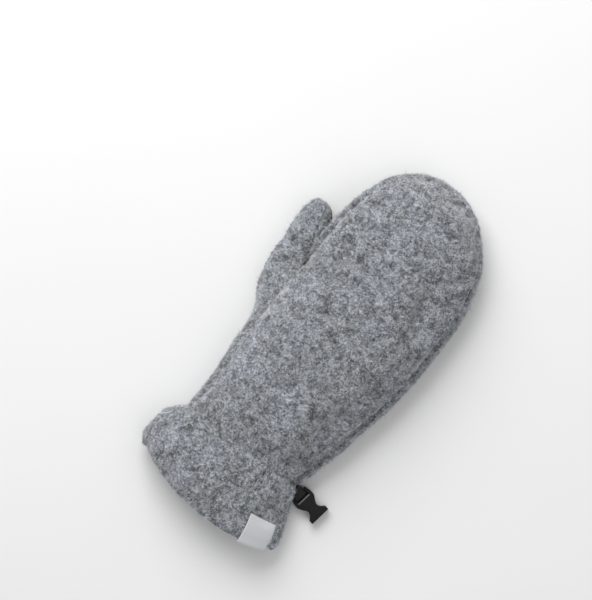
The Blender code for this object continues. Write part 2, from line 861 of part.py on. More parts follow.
def eased(skin, crotch):
    """The skin's points, evened out where cells are skewed or their inner side would fold over."""
    quads = np.array(skin.quads)
    for _ in range(EASE_ROUNDS):
        points = np.array(skin.points)
        inner_points = points - skin.normals() * wall_depths(skin, crotch)[:, None]
        outer = corner_turns(points, quads)
        inner = corner_turns(inner_points, quads)
        left = (inner * outer).sum(axis=2) / (outer * outer).sum(axis=2)
        sides = np.linalg.norm(points[quads] - points[np.roll(quads, 1, axis=1)], axis=2).T
        skew = np.linalg.norm(outer, axis=2) / (sides * np.roll(sides, -1, axis=0))
        folds = left.min(axis=0) < EASE_FOLD_SHARE
        moved = np.unique(quads[folds | (skew.min(axis=0) < EASE_SKEW_SHARE)])
        points[moved] = mix(points[moved], skin.even_points()[moved], 0.5)
        skin.points = list(points)
    return points


def panel(name, points, normals, depths, quads, seams):
    """A panel of the skin, thickened inwards and set back from its seams.

    In a tight crease a panel's own normals lean away from the skin's, and there the panel is set
    back along them too, so that it clears the panel that it faces.
    """
    moves = seam_insets(points, normals, quads, seams)
    own = turned(points, normals, np.array(quads), PANEL_FACING_SHARE)
    lean = 1 - (own * normals).sum(axis=1)
    for corner in moves:
        moves[corner] -= own[corner] * lean[corner] * SEAM_GAP / 2
    corners = sorted({corner for quad in quads for corner in quad})
    place = {corner: index for index, corner in enumerate(corners)}
    cells = [[place[corner] for corner in quad] for quad in quads]
    outer = np.array([points[corner] + moves.get(corner, 0.0) for corner in corners])
    inward = own[corners] * depths[corners, None]
    faces = slab_faces(outer, cells)
    for _ in range(THINNING_ROUNDS):
        thinned = {corner % len(outer) for corner in crossed([*outer, *(outer - inward)], faces)}
        inward[sorted(thinned)] *= THINNING_SHARE
    return slab(name, outer, outer - inward, cells)


def seam_edges(quads, tags):
    """The edges where two panels meet."""
    sides = {}
    for quad, tag in zip(quads, tags):
        for start, end in zip(quad, quad[1:] + quad[:1]):
            sides.setdefault(frozenset((start, end)), set()).add(tag)
    return {edge for edge, met in sides.items() if len(met) > 1}


def on_net(grid, row, column):
    """A point between the points of a grid, on the straight lines that join them."""
    near = min(int(row), len(grid) - 2)
    left = min(int(column), len(grid[0]) - 2)
    start = mix(grid[near][left], grid[near][left + 1], column - left)
    end = mix(grid[near + 1][left], grid[near + 1][left + 1], column - left)
    return mix(start, end, row - near)


def grid_quads(rows, columns, closed=False):
    """The cells of a grid of points that are numbered row by row."""
    found = []
    for row in range(rows - 1):
        for column in range(columns if closed else columns - 1):
            after = (column + 1) % columns
            found.append(
                [
                    row * columns + column,
                    row * columns + after,
                    (row + 1) * columns + after,
                    (row + 1) * columns + column,
                ]
            )
    return found


def add_welt(path, normals):
    """The corded seam: a round cord along the ridge, just outside the skin."""
    away = WELT_RADIUS + WELT_CLEARANCE
    middles = [point + normal * away for point, normal in zip(path, normals)]
    vertices = []
    for index, middle in enumerate(middles):
        after = middles[min(index + 1, len(middles) - 1)]
        run = unit(after - middles[max(index - 1, 0)])
        side = unit(np.cross(run, [0, 0, 1]))
        up = np.cross(run, side)
        for step in range(WELT_SIDES):
            angle = 2 * math.pi * step / WELT_SIDES
            vertices.append(middle + WELT_RADIUS * (math.cos(angle) * side + math.sin(angle) * up))
    faces = grid_quads(len(middles), WELT_SIDES, closed=True)
    faces.append(list(range(WELT_SIDES))[::-1])
    faces.append([len(vertices) - WELT_SIDES + step for step in range(WELT_SIDES)])
    return add_mesh("welt", vertices, faces)


def add_label(points, normals):
    """The label: a leaf outside the cuff, a turn round the hem and a leaf inside the cuff."""
    hem_x = np.array([point[0] for point in points[0]])
    columns = np.arange(len(hem_x))
    left = float(np.interp(LABEL_CENTRE - LABEL_WIDTH / 2, hem_x, columns))
    right = float(np.interp(LABEL_CENTRE + LABEL_WIDTH / 2, hem_x, columns))
    across = [left] + [c for c in columns if left < c < right] + [right]
    row_length = np.linalg.norm(points[1][round(left)] - points[0][round(left)])
    end = LABEL_LENGTH / row_length
    along = [end] + [row for row in range(int(end), 0, -1)] + [0.0]
    tuck_end = LABEL_TUCK / row_length
    tuck = [0.0] + [row for row in range(1, int(tuck_end) + 1)] + [tuck_end]
    away = LABEL_CLEARANCE + LABEL_THICKNESS / 2
    middles = []
    facing = []
    for row in along:
        for column in across:
            normal = unit(on_net(normals, row, column))
            middles.append(on_net(points, row, column) + normal * away)
            facing.append(normal)
    for quarter in (1, 2, 3):
        angle = math.pi * quarter / 4
        for column in across:
            normal = unit(on_net(normals, 0, column))
            run = on_net(points, 0, column) - on_net(points, 1, column)
            beyond = unit(run - normal * np.dot(run, normal))
            direction = normal * math.cos(angle) + beyond * math.sin(angle)
            centre = on_net(points, 0, column) - normal * FLEECE_WALL / 2
            middles.append(centre + direction * (FLEECE_WALL / 2 + away))
            facing.append(direction)
    for row in tuck:
        for column in across:
            normal = unit(on_net(normals, row, column))
            middles.append(on_net(points, row, column) - normal * (FLEECE_WALL + away))
            facing.append(-normal)
    half = LABEL_THICKNESS / 2
    outer = [middle + normal * half for middle, normal in zip(middles, facing)]
    inner = [middle - normal * half for middle, normal in zip(middles, facing)]
    quads = grid_quads(len(middles) // len(across), len(across))
    return slab("label", outer, inner, [quad[::-1] for quad in quads])


def buckle_frame(skin_tree):
    """From the buckle's own frame, whose x runs from the strap to the mouth, to the mitten's.

    The buckle starts clear of the furthest that the mitten's side reaches across its width.
    """
    line = Matrix.Translation((0, STRAP_LINE_Y, BUCKLE_FLOOR_GAP))
    line = line @ Matrix.Rotation(BUCKLE_TURN, 4, "Z")
    towards_mitten = line.to_3x3() @ Vector((-1, 0, 0))
    half = BUCKLE_OUTLINE[0].half * BUCKLE_WIDTH / 2
    reach = 0.0
    for y in np.linspace(-half, half, 9):
        for z in np.linspace(0, BUCKLE_HEIGHT, 4):
            start = line @ Vector((HAND_WIDTH, y, z))
            hit, _, _, away = skin_tree.ray_cast(start, towards_mitten)
            if hit is not None:
                reach = max(reach, HAND_WIDTH - away)
    return line @ Matrix.Translation((reach + BUCKLE_CLEARANCE, 0, 0))


def prism(name, outline, low, high):
    """A solid with this outline, given as (x, y) corners in turn, between two heights."""
    count = len(outline)
    vertices = [(x, y, low) for x, y in outline] + [(x, y, high) for x, y in outline]
    sides = [[i, (i + 1) % count, count + (i + 1) % count, count + i] for i in range(count)]
    faces = [list(range(count))[::-1], [count + i for i in range(count)]] + sides
    obj = add_mesh(name, vertices, faces)
    mesh = bmesh.new()
    mesh.from_mesh(obj.data)
    bmesh.ops.recalc_face_normals(mesh, faces=mesh.faces)
    mesh.to_mesh(obj.data)
    mesh.free()
    return obj


def waisted(start, end, inset):
    """The buckle's outline between two distances from the strap, this far inside its own."""
    along = [waist.along * BUCKLE_LENGTH for waist in BUCKLE_OUTLINE]
    half = [waist.half * BUCKLE_WIDTH / 2 - inset for waist in BUCKLE_OUTLINE]
    stops = [start] + [x for x in along if start < x < end] + [end]
    right = [(x, -float(np.interp(x, along, half))) for x in stops]
    return right + [(x, -y) for x, y in reversed(right)]


def rectangle(start, end, half):
    return [(start, -half), (end, -half), (end, half), (start, half)]


def combine(obj, other, operation):
    """A Boolean with a helper, which is hidden."""
    modifier = obj.modifiers.new(other.name, "BOOLEAN")
    modifier.operation = operation
    modifier.solver = "EXACT"
    modifier.object = other
    other.hide_render = True
    other.display_type = "WIRE"


def crossbar_middle():
    """The crossbar's middle in the buckle's frame: along, and height."""
    thick = CROSSBAR_HEIGHT + 2 * (WEBBING_THICKNESS + WEBBING_CLEARANCE)
    return CROSSBAR_START + CROSSBAR_LENGTH / 2, thick / 2


def add_buckle(frame):
    """The socket: a waisted case, open at its mouth, with a crossbar for the strap."""
    slot_half = WEBBING_WIDTH / 2 + WEBBING_CLEARANCE
    slot_end = CROSSBAR_START + CROSSBAR_LENGTH + WEBBING_THICKNESS + 3 * WEBBING_CLEARANCE
    _, bar_height = crossbar_middle()
    body = prism("buckle_socket", waisted(0.0, BUCKLE_LENGTH, 0.0), 0.0, BUCKLE_HEIGHT)
    slot_outline = rectangle(-CUTTER_MARGIN, slot_end, slot_half)
    slot = prism("strap_slot", slot_outline, -CUTTER_MARGIN, BUCKLE_HEIGHT + CUTTER_MARGIN)
    mouth_start = BUCKLE_LENGTH - BUCKLE_MOUTH_DEPTH
    inside = waisted(mouth_start, BUCKLE_LENGTH, BUCKLE_WALL)
    ahead = [(x + CUTTER_MARGIN if x == BUCKLE_LENGTH else x, y) for x, y in inside]
    mouth = prism("mouth", ahead, BUCKLE_WALL, BUCKLE_HEIGHT - BUCKLE_WALL)
    bar_outline = rectangle(
        CROSSBAR_START, CROSSBAR_START + CROSSBAR_LENGTH, slot_half + BUCKLE_WALL / 2
    )
    bar_low = bar_height - CROSSBAR_HEIGHT / 2
    bar = prism("crossbar", bar_outline, bar_low, bar_low + CROSSBAR_HEIGHT)
    combine(body, slot, "DIFFERENCE")
    combine(body, mouth, "DIFFERENCE")
    combine(body, bar, "UNION")
    for obj in (body, slot, mouth, bar):
        obj.data.transform(frame)
        obj.data.polygons.foreach_set("use_smooth", [False] * len(obj.data.polygons))
        obj.data.update()
    return body


def strap_profile():
    """The strap's outer and inner face, from its top end round the crossbar to its bottom end."""
    bar_x, bar_z = crossbar_middle()
    half = CROSSBAR_HEIGHT / 2 + WEBBING_CLEARANCE
    reach = CROSSBAR_LENGTH / 2 + 2 * WEBBING_CLEARANCE - half
    turns = [math.radians(90 - 30 * step) for step in range(7)]
    before_bar = CROSSBAR_START - WEBBING_CLEARANCE
    profiles = []
    for radius in (half + WEBBING_THICKNESS, half):
        round_bar = [
            (bar_x + reach + radius * math.cos(turn), bar_z + radius * math.sin(turn))
            for turn in turns
        ]
        over = (before_bar, bar_z + radius)
        under = (before_bar, bar_z - radius)
        profiles.append([over] + round_bar + [under])
    return profiles


def add_strap(frame, skin_tree):
    """The webbing: two layers from the wrist's side, joined in a turn round the crossbar."""
    towards_mitten = frame.to_3x3() @ Vector((-1, 0, 0))
    widths = np.linspace(-WEBBING_WIDTH / 2, WEBBING_WIDTH / 2, 5)
    faces = []
    for profile in strap_profile():
        rows = []
        for end in (profile[0], profile[-1]):
            row = []
            for y in widths:
                start = frame @ Vector((end[0], y, end[1] + STRAP_SLOPE))
                hit, _, _, _ = skin_tree.ray_cast(start, towards_mitten)
                row.append(hit - towards_mitten * 2 * SEAM_GAP)
            rows.append(row)
        round_bar = [[frame @ Vector((x, y, z)) for y in widths] for x, z in profile]
        faces.append([rows[0]] + round_bar + [rows[1]])
    outer = [np.array(point) for row in faces[0] for point in row]
    inner = [np.array(point) for row in faces[1] for point in row]
    quads = grid_quads(len(faces[0]), len(widths))
    return slab("strap_loop", outer, inner, [quad[::-1] for quad in quads])


def material(name, colour, roughness):
    made = bpy.data.materials.new(name)
    made.use_nodes = True
    shader = made.node_tree.nodes["Principled BSDF"]
    shader.inputs["Base Color"].default_value = (*colour, 1.0)
    shader.inputs["Roughness"].default_value = roughness
    return made


def main():
    for obj in list(bpy.data.objects):
        bpy.data.objects.remove(obj)
    skin, cuff, heel, crotch = sewn_skin()
    skin.points = crumpled(skin)
    points = eased(skin, crotch)
    normals = skin.normals()
    facing = turned(points, normals, np.array(skin.quads), SKIN_FACING_SHARE)
    depths = wall_depths(skin, crotch)
    seams = seam_edges(skin.quads, skin.tags)
    parts = []
    for name, (_, colour, roughness) in PANELS.items():
        quads = [quad for quad, tag in zip(skin.quads, skin.tags) if tag == name]
        obj = panel(name, points, facing, depths, quads, seams)
        parts.append((obj, colour, roughness))

    ridge = [skin.number(ring[RIDGE]) for ring in heel]
    parts.append((add_welt(points[ridge], normals[ridge]), PALM_BLACK, 0.45))

    net = [[skin.number(point) for point in ring[: PINKY_SEAM + 1]] for ring in cuff]
    parts.append((add_label(points[net], normals[net]), LABEL_GREY, 0.80))

    tree = BVHTree.FromPolygons([tuple(point) for point in points], skin.quads)
    frame = buckle_frame(tree)
    parts.append((add_strap(frame, tree), WEBBING_BLACK, 0.70))
    parts.append((add_buckle(frame), BUCKLE_BLACK, 0.40))

    vertices = np.array([vertex.co for obj, _, _ in parts for vertex in obj.data.vertices])
    low = vertices.min(axis=0)
    high = vertices.max(axis=0)
    to_origin = Matrix.Translation((-(low[0] + high[0]) / 2, -(low[1] + high[1]) / 2, -low[2]))
    for obj in bpy.data.objects:
        obj.data.transform(to_origin)
    for obj, colour, roughness in parts:
        obj.data.materials.append(material(obj.name, colour, roughness))


main()
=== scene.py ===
"""The looks of a fleece mitten for the right hand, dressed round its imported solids.

The sewn skin is worked out once, as a fine net of rings in which every cell belongs to a panel.
Each panel of fleece or leather is then a hollow-side-in sheet of that net, with its own relief: felted
nubs, rolled seams and puckers on the fleece, grain and soft wrinkles on the leather. The trimmings
sit on the same net. Metres, +Z up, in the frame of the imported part.
"""

import logging
import math
from dataclasses import dataclass, field
from enum import Enum
from functools import cache
from typing import Callable, NamedTuple, Optional, Sequence

import bpy
import numpy as np
from mathutils import Matrix, Vector, noise
from mathutils.bvhtree import BVHTree
from mathutils.kdtree import KDTree


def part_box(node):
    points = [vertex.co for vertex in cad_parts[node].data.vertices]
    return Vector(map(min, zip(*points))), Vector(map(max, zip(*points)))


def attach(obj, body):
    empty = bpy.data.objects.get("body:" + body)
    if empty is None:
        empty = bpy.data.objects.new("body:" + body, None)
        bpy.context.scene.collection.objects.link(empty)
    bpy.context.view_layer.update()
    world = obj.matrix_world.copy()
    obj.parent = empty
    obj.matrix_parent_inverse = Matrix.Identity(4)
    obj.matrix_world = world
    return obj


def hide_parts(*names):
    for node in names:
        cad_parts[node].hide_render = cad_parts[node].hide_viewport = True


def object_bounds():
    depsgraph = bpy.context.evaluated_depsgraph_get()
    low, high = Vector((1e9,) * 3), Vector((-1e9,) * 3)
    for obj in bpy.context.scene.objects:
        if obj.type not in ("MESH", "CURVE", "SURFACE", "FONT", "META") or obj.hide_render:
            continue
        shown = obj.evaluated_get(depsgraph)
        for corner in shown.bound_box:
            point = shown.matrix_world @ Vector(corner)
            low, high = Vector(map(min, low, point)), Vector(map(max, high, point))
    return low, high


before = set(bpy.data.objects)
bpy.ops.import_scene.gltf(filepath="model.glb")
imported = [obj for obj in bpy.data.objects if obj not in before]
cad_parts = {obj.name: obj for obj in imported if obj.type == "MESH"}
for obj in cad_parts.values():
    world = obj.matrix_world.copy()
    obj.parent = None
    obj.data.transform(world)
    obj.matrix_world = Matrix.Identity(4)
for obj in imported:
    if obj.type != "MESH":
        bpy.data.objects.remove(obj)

CAD_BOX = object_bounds()
MM = 0.001

logging.basicConfig(level=logging.INFO, format="%(name)s: %(message)s")
log = logging.getLogger("mitten")

Colour = tuple[float, float, float]
Array = np.ndarray
Value = float | Array
Piece = bpy.types.Object
Material = bpy.types.Material
Socket = bpy.types.NodeSocket
Input = Socket | float | Colour
Quads = list[list[int]]
Keep = Callable[[Array], Array]


class Panel(Enum):
    """The sewn panels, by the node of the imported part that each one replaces."""

    BACK = "back_panel"
    BAND = "side_band"
    CUFF = "cuff"
    THUMB = "thumb_panel"
    STRIP = "thumb_strip"
    PALM = "palm_leather"
    FINGERTIP = "fingertip_leather"
    GRIP = "thumb_leather"


class Layer(Enum):
    """The layers of noise, each moved by its own amount so that no two are alike."""

    WRIST = 0.0
    WRINKLE = 1.7
    CLUMP = 2.4
    PUCKER = 3.1
    GATHER = 4.4
    FOLD = 5.9
    LUMP = 7.3
    BLOTCH = 8.1


class Outline(NamedTuple):
    """A ring from above: along, bow and dip are shares of run, edges and ridge of width."""

    run: float
    along_thumb: float
    along_pinky: float
    bow: float
    dip: float
    width: float
    thumb_edge: float
    pinky_edge: float
    ridge: float
    lens: float
    heel: float


class Profile(NamedTuple):
    """A ring's heights, as shares of rise, of the seams' height and of the thumb's height."""

    rise: float
    crown: float
    seam_thumb: float
    seam_pinky: float
    lift: float
    bulge: float
    valley: float
    lean: float


class Station(NamedTuple):
    """The thumb's cross-section. Along runs from the crotch to the tip, reach past the hand."""

    along: float
    reach: float
    width: float
    rise: float


class Bearing(NamedTuple):
    """Where a cell of the thumb's ring lies on its section, in degrees from the inner side."""

    cell: int
    degrees: float


class Dent(NamedTuple):
    """A soft dent or crease in the upper side.

    Along is a share of the wrist's way to the tip, across and the sizes are shares of the hand's
    width, depth is a share of its rise, and turn is in degrees from the mitten's length.
    """

    along: float
    across: float
    length: float
    width: float
    turn: float
    depth: float


class Draw(NamedTuple):
    """Where the seams on the upper side draw the fleece in.

    The strength grows from nothing at the start to its full value one reach further, along X and Y.
    """

    strength: float
    x_start: float
    x_reach: float
    y_start: float
    y_reach: float


class Waist(NamedTuple):
    """The buckle's outline: a share of its length from the strap, and of half its width."""

    along: float
    half: float


class Measures(NamedTuple):
    """One ring's measures in metres, worked out from an outline and a profile."""

    along_thumb: float
    along_pinky: float
    bow: float
    dip: float
    thumb_edge: float
    pinky_edge: float
    ridge: float
    lens: float
    heel: float
    crown: float
    seam_thumb: float
    seam_pinky: float
    lift: float
    bulge: float
    valley: float
    lean: float


# Lengths, widths and heights of the skin, and its walls, in metres
HEM = 0.0548
RUN = 0.2338
CUFF = 0.1226
WRIST = 0.0962
HAND = 0.1160
CUFF_RISE = 0.0340
WRIST_RISE = 0.0315
HAND_RISE = 0.0420
FLEECE_WALL = 0.0030
LEATHER_WALL = 0.0018

# Points that round to the same step of this grid are one point
STEPS_PER_METRE = 1e7

# Rings of the cuff, from the hem to the wrist
CUFF_OUTLINES = (
    Outline(HEM, -0.75, -0.85, -0.215, 0.000, CUFF, -0.493, 0.476, 0.020, -0.15, 0.00),
    Outline(HEM, -0.61, -0.66, -0.130, 0.000, CUFF, -0.533, 0.465, 0.020, -0.15, 0.00),
    Outline(HEM, -0.41, -0.43, -0.075, 0.000, CUFF, -0.530, 0.426, 0.020, -0.13, 0.00),
    Outline(HEM, -0.18, -0.19, -0.035, 0.000, CUFF, -0.498, 0.385, 0.025, -0.09, 0.00),
    Outline(RUN, 0.000, 0.000, 0.000, 0.000, WRIST, -0.535, 0.465, 0.040, -0.05, 0.00),
)
CUFF_PROFILES = (
    Profile(CUFF_RISE, 0.88, 0.74, 0.70, 0.00, 1.0, 0.0, 0.0),
    Profile(CUFF_RISE, 1.00, 0.84, 0.78, 0.00, 1.0, 0.0, 0.0),
    Profile(CUFF_RISE, 1.02, 0.86, 0.80, 0.00, 1.0, 0.05, 0.0),
    Profile(CUFF_RISE, 0.98, 0.84, 0.78, 0.00, 1.0, 0.4, 0.0),
    Profile(WRIST_RISE, 1.00, 0.80, 0.76, 0.00, 1.0, 1.0, 0.0),
)

# Rings of the hand, from the wrist to the fingertips, with the crotch at one of them
CROTCH_RING = 5
HAND_OUTLINES = (
    CUFF_OUTLINES[-1],
    Outline(RUN, 0.113, 0.113, 0.000, 0.010, HAND, -0.431, 0.444, 0.005, -0.10, 0.00),
    Outline(RUN, 0.250, 0.250, 0.000, 0.028, HAND, -0.450, 0.504, -0.043, -0.20, 0.02),
    Outline(RUN, 0.353, 0.353, 0.000, 0.052, HAND, -0.448, 0.547, -0.078, -0.28, 0.10),
    Outline(RUN, 0.438, 0.438, 0.000, 0.070, HAND, -0.437, 0.569, -0.103, -0.33, 0.60),
    Outline(RUN, 0.541, 0.541, 0.000, 0.086, HAND, -0.425, 0.576, -0.112, -0.36, 0.90),
    Outline(RUN, 0.635, 0.635, 0.003, 0.055, HAND, -0.420, 0.578, -0.112, -0.36, 0.90),
    Outline(RUN, 0.742, 0.742, 0.009, 0.016, HAND, -0.405, 0.565, -0.095, -0.36, 0.90),
    Outline(RUN, 0.828, 0.828, 0.019, 0.000, HAND, -0.366, 0.517, -0.060, -0.36, 0.90),
    Outline(RUN, 0.864, 0.864, 0.038, 0.000, HAND, -0.340, 0.478, -0.034, -0.36, 0.90),
    Outline(RUN, 0.882, 0.882, 0.061, 0.000, HAND, -0.320, 0.444, -0.014, -0.36, 0.90),
    Outline(RUN, 0.894, 0.894, 0.086, 0.000, HAND, -0.303, 0.414, 0.000, -0.36, 0.90),
)
HAND_PROFILES = (
    CUFF_PROFILES[-1],
    Profile(HAND_RISE, 0.88, 0.90, 0.88, 0.00, 1.0, 1.0, 0.00),
    Profile(HAND_RISE, 0.96, 0.97, 0.97, 0.10, 1.0, 1.0, 0.00),
    Profile(HAND_RISE, 1.00, 0.98, 1.00, 0.30, 1.0, 1.0, 0.00),
    Profile(HAND_RISE, 1.00, 0.96, 1.00, 0.50, 0.6, 1.0, 0.00),
    Profile(HAND_RISE, 1.00, 0.94, 1.00, 0.50, 0.2, 1.0, 0.00),
    Profile(HAND_RISE, 1.00, 1.22, 1.00, 0.97, 0.9, 0.4, 0.00),
    Profile(HAND_RISE, 0.97, 1.28, 1.00, 0.95, 1.0, 0.05, 0.12),
    Profile(HAND_RISE, 0.91, 1.12, 0.99, 0.52, 1.0, 0.0, 0.32),
    Profile(HAND_RISE, 0.82, 1.03, 0.98, 0.24, 1.0, 0.0, 0.55),
    Profile(HAND_RISE, 0.69, 0.99, 0.98, 0.11, 1.0, 0.0, 0.78),
    Profile(HAND_RISE, 0.49, 0.98, 0.98, 0.05, 1.0, 0.0, 1.00),
)

# The thumb, from the crotch to its tip, and the turn of its cells
THUMB_STATIONS = (
    Station(0.00, 0.93, 1.16, 1.00),
    Station(0.30, 0.97, 1.09, 1.00),
    Station(0.55, 1.00, 0.99, 1.00),
    Station(0.78, 0.99, 0.86, 0.98),
    Station(0.90, 0.92, 0.69, 0.86),
    Station(0.97, 0.80, 0.46, 0.56),
)
THUMB_BEARINGS = (
    Bearing(0, -40.0),
    Bearing(6, -118.0),
    Bearing(8, -142.0),
    Bearing(11, -190.0),
    Bearing(14, -285.0),
    Bearing(28, -400.0),
)

# Dents and creases that the photo shows, and the stretches where the seams draw in
DENTS = (
    Dent(0.634, 0.356, 0.160, 0.052, 20.0, 0.160),
    Dent(0.785, 0.345, 0.140, 0.032, 82.0, 0.038),
    Dent(0.735, -0.030, 0.140, 0.060, 10.0, 0.034),
    Dent(0.880, -0.110, 0.100, 0.050, 60.0, 0.026),
    Dent(0.243, 0.372, 0.270, 0.070, -20.0, 0.125),
    Dent(0.050, 0.310, 0.120, 0.070, -8.0, 0.105),
    Dent(-0.085, 0.360, 0.110, 0.062, 0.0, 0.085),
    Dent(-0.050, -0.320, 0.180, 0.034, -68.0, 0.040),
    Dent(0.090, -0.260, 0.100, 0.070, 20.0, 0.030),
    Dent(0.440, -0.150, 0.220, 0.090, 8.0, 0.022),
    Dent(0.420, 0.150, 0.160, 0.070, -24.0, 0.018),
)
DRAWS = (
    Draw(1.00, 0.000, 0.030, 0.118, -0.060),
    Draw(0.65, -0.035, 0.020, -0.070, -0.010),
    Draw(1.00, -0.034, -0.006, 0.034, 0.012),
)

# The buckle from above
BUCKLE_OUTLINE = (
    Waist(0.00, 0.88),
    Waist(0.12, 0.94),
    Waist(0.22, 1.00),
    Waist(0.34, 1.00),
    Waist(0.46, 0.82),
    Waist(0.58, 0.58),
    Waist(0.68, 0.54),
    Waist(0.78, 0.70),
    Waist(0.87, 1.00),
    Waist(1.00, 1.00),
)


def ease(part: Value) -> Value:
    """A smooth step from 0 to 1."""
    part = np.clip(part, 0.0, 1.0)
    return part * part * (3 - 2 * part)


def mix(start: Value, end: Value, part: Value) -> Value:
    """The number or point this share of the way from start to end."""
    return start + (end - start) * part


def bezier(points: Sequence[Value], part: float) -> Value:
    """A number or point on a cubic curve with four controls.

    Args:
        points: the four controls.
        part: the share of the way along.

    Returns:
        The number or point.
    """
    a, b, c, d = points
    rest = 1 - part
    return a * rest**3 + 3 * b * part * rest**2 + 3 * c * part**2 * rest + d * part**3


def unit(vector: Array) -> Array:
    """The vector at a length of 1, along the last axis."""
    return vector / np.maximum(np.linalg.norm(vector, axis=-1, keepdims=True), 1e-12)


def through(rows: Sequence[Array], place: float) -> Array:
    """Reads a table between its rows.

    Args:
        rows: the table's rows.
        place: a row number, with a fraction between two rows.

    Returns:
        The values there, on a smooth curve through the rows.
    """
    last = len(rows) - 1
    first = min(int(place), last - 1)
    part = place - first
    start = rows[first]
    end = rows[first + 1]
    slope_in = (end - rows[max(first - 1, 0)]) / 2
    slope_out = (rows[min(first + 2, last)] - start) / 2
    cubic = 2 * (start - end) + slope_in + slope_out
    square = 3 * (end - start) - 2 * slope_in - slope_out
    return start + slope_in * part + square * part**2 + cubic * part**3


def distances(path: Array) -> Array:
    """How far along a path each of its points is."""
    steps = np.linalg.norm(np.diff(path, axis=0), axis=1)
    return np.concatenate([[0], np.cumsum(steps)])


def read_at(places: Array, along: Array, values: Array) -> Array:
    """What the values along a path are at these distances along it."""
    return np.stack([np.interp(places, along, values[:, axis]) for axis in range(3)], axis=1)


def noise_at(points: Array, size: float, layer: Layer) -> Array:
    """Smooth noise from -1 to 1 at each point, in one of its layers, with bumps of this size."""
    scaled = points / size + layer.value
    return np.array([noise.noise(Vector(point)) for point in scaled])


def nubs_at(points: Array, size: float) -> Array:
    """How far each point is from the middle of its felted nub, from 0 to about 1."""
    warped = points / size
    return np.array([noise.voronoi(Vector(point))[0][0] for point in warped])


def mesh_object(name: str, vertices: Array, faces: Sequence, smooth: bool = True) -> Piece:
    """Makes an object in the scene.

    Args:
        name: the object's name.
        vertices: its points.
        faces: the corners of each face, as numbers of points.
        smooth: whether it is shaded smooth.

    Returns:
        The new object.
    """
    mesh = bpy.data.meshes.new(name)
    mesh.from_pydata(np.asarray(vertices).tolist(), [], [list(face) for face in faces])
    mesh.polygons.foreach_set("use_smooth", [smooth] * len(mesh.polygons))
    mesh.update()
    obj = bpy.data.objects.new(name, mesh)
    bpy.context.scene.collection.objects.link(obj)
    return obj


def apply_modifiers(obj: Piece) -> None:
    """Fixes the object's modifiers in its mesh.

    Args:
        obj: the object, which gets a new mesh.
    """
    graph = bpy.context.evaluated_depsgraph_get()
    made = bpy.data.meshes.new_from_object(obj.evaluated_get(graph))
    obj.modifiers.clear()
    obj.data = made


def add_piece(obj: Piece, slot: str, node: str = "", finish: Sequence = ()) -> Piece:
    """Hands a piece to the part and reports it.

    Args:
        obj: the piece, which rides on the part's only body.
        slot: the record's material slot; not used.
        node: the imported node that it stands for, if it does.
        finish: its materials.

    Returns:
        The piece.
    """
    for material in finish:
        obj.data.materials.append(material)
    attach(obj, "root")
    if node:
        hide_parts(node)
    log.info("%s: %d faces", obj.name, len(obj.data.polygons))
    return obj


def grid_quads(rows: int, columns: int, closed: bool = False) -> Quads:
    """Numbers the cells of a grid of points.

    Args:
        rows: how many rows of points there are.
        columns: how many points there are in a row.
        closed: whether each row closes on itself.

    Returns:
        The corners of each cell.
    """
    found = []
    for row in range(rows - 1):
        for column in range(columns if closed else columns - 1):
            here = row * columns
            after = (column + 1) % columns
            found.append([here + column, here + after, here + columns + after, here + columns + column])
    return found


def rim(quads: Array) -> tuple[Array, Array]:
    """The start and end points of the edges that only one cell has.

    Args:
        quads: the cells.

    Returns:
        The start of each such edge, and its end.
    """
    starts = quads.reshape(-1)
    ends = np.roll(quads, -1, axis=1).reshape(-1)
    low = np.minimum(starts, ends).astype(np.int64)
    keys = low * (quads.max() + 1) + np.maximum(starts, ends)
    _, where, counts = np.unique(keys, return_inverse=True, return_counts=True)
    single = counts[where] == 1
    return starts[single], ends[single]


def slab(outer: Array, inner: Array, quads: Array) -> tuple[Array, Quads]:
    """A closed sheet between two copies of a net.

    Args:
        outer: the outer points.
        inner: the inner points.
        quads: the cells.

    Returns:
        All the points, and all the faces.
    """
    count = len(outer)
    starts, ends = rim(quads)
    sides = np.stack([ends, starts, starts + count, ends + count], axis=1)
    faces = np.concatenate([quads, quads[:, ::-1] + count, sides])
    return np.concatenate([outer, inner]), faces.tolist()


class Cloth(NamedTuple):
    """What a panel is cut to: its flat width and length, and its area, in metres."""

    width: float
    length: float
    area: float


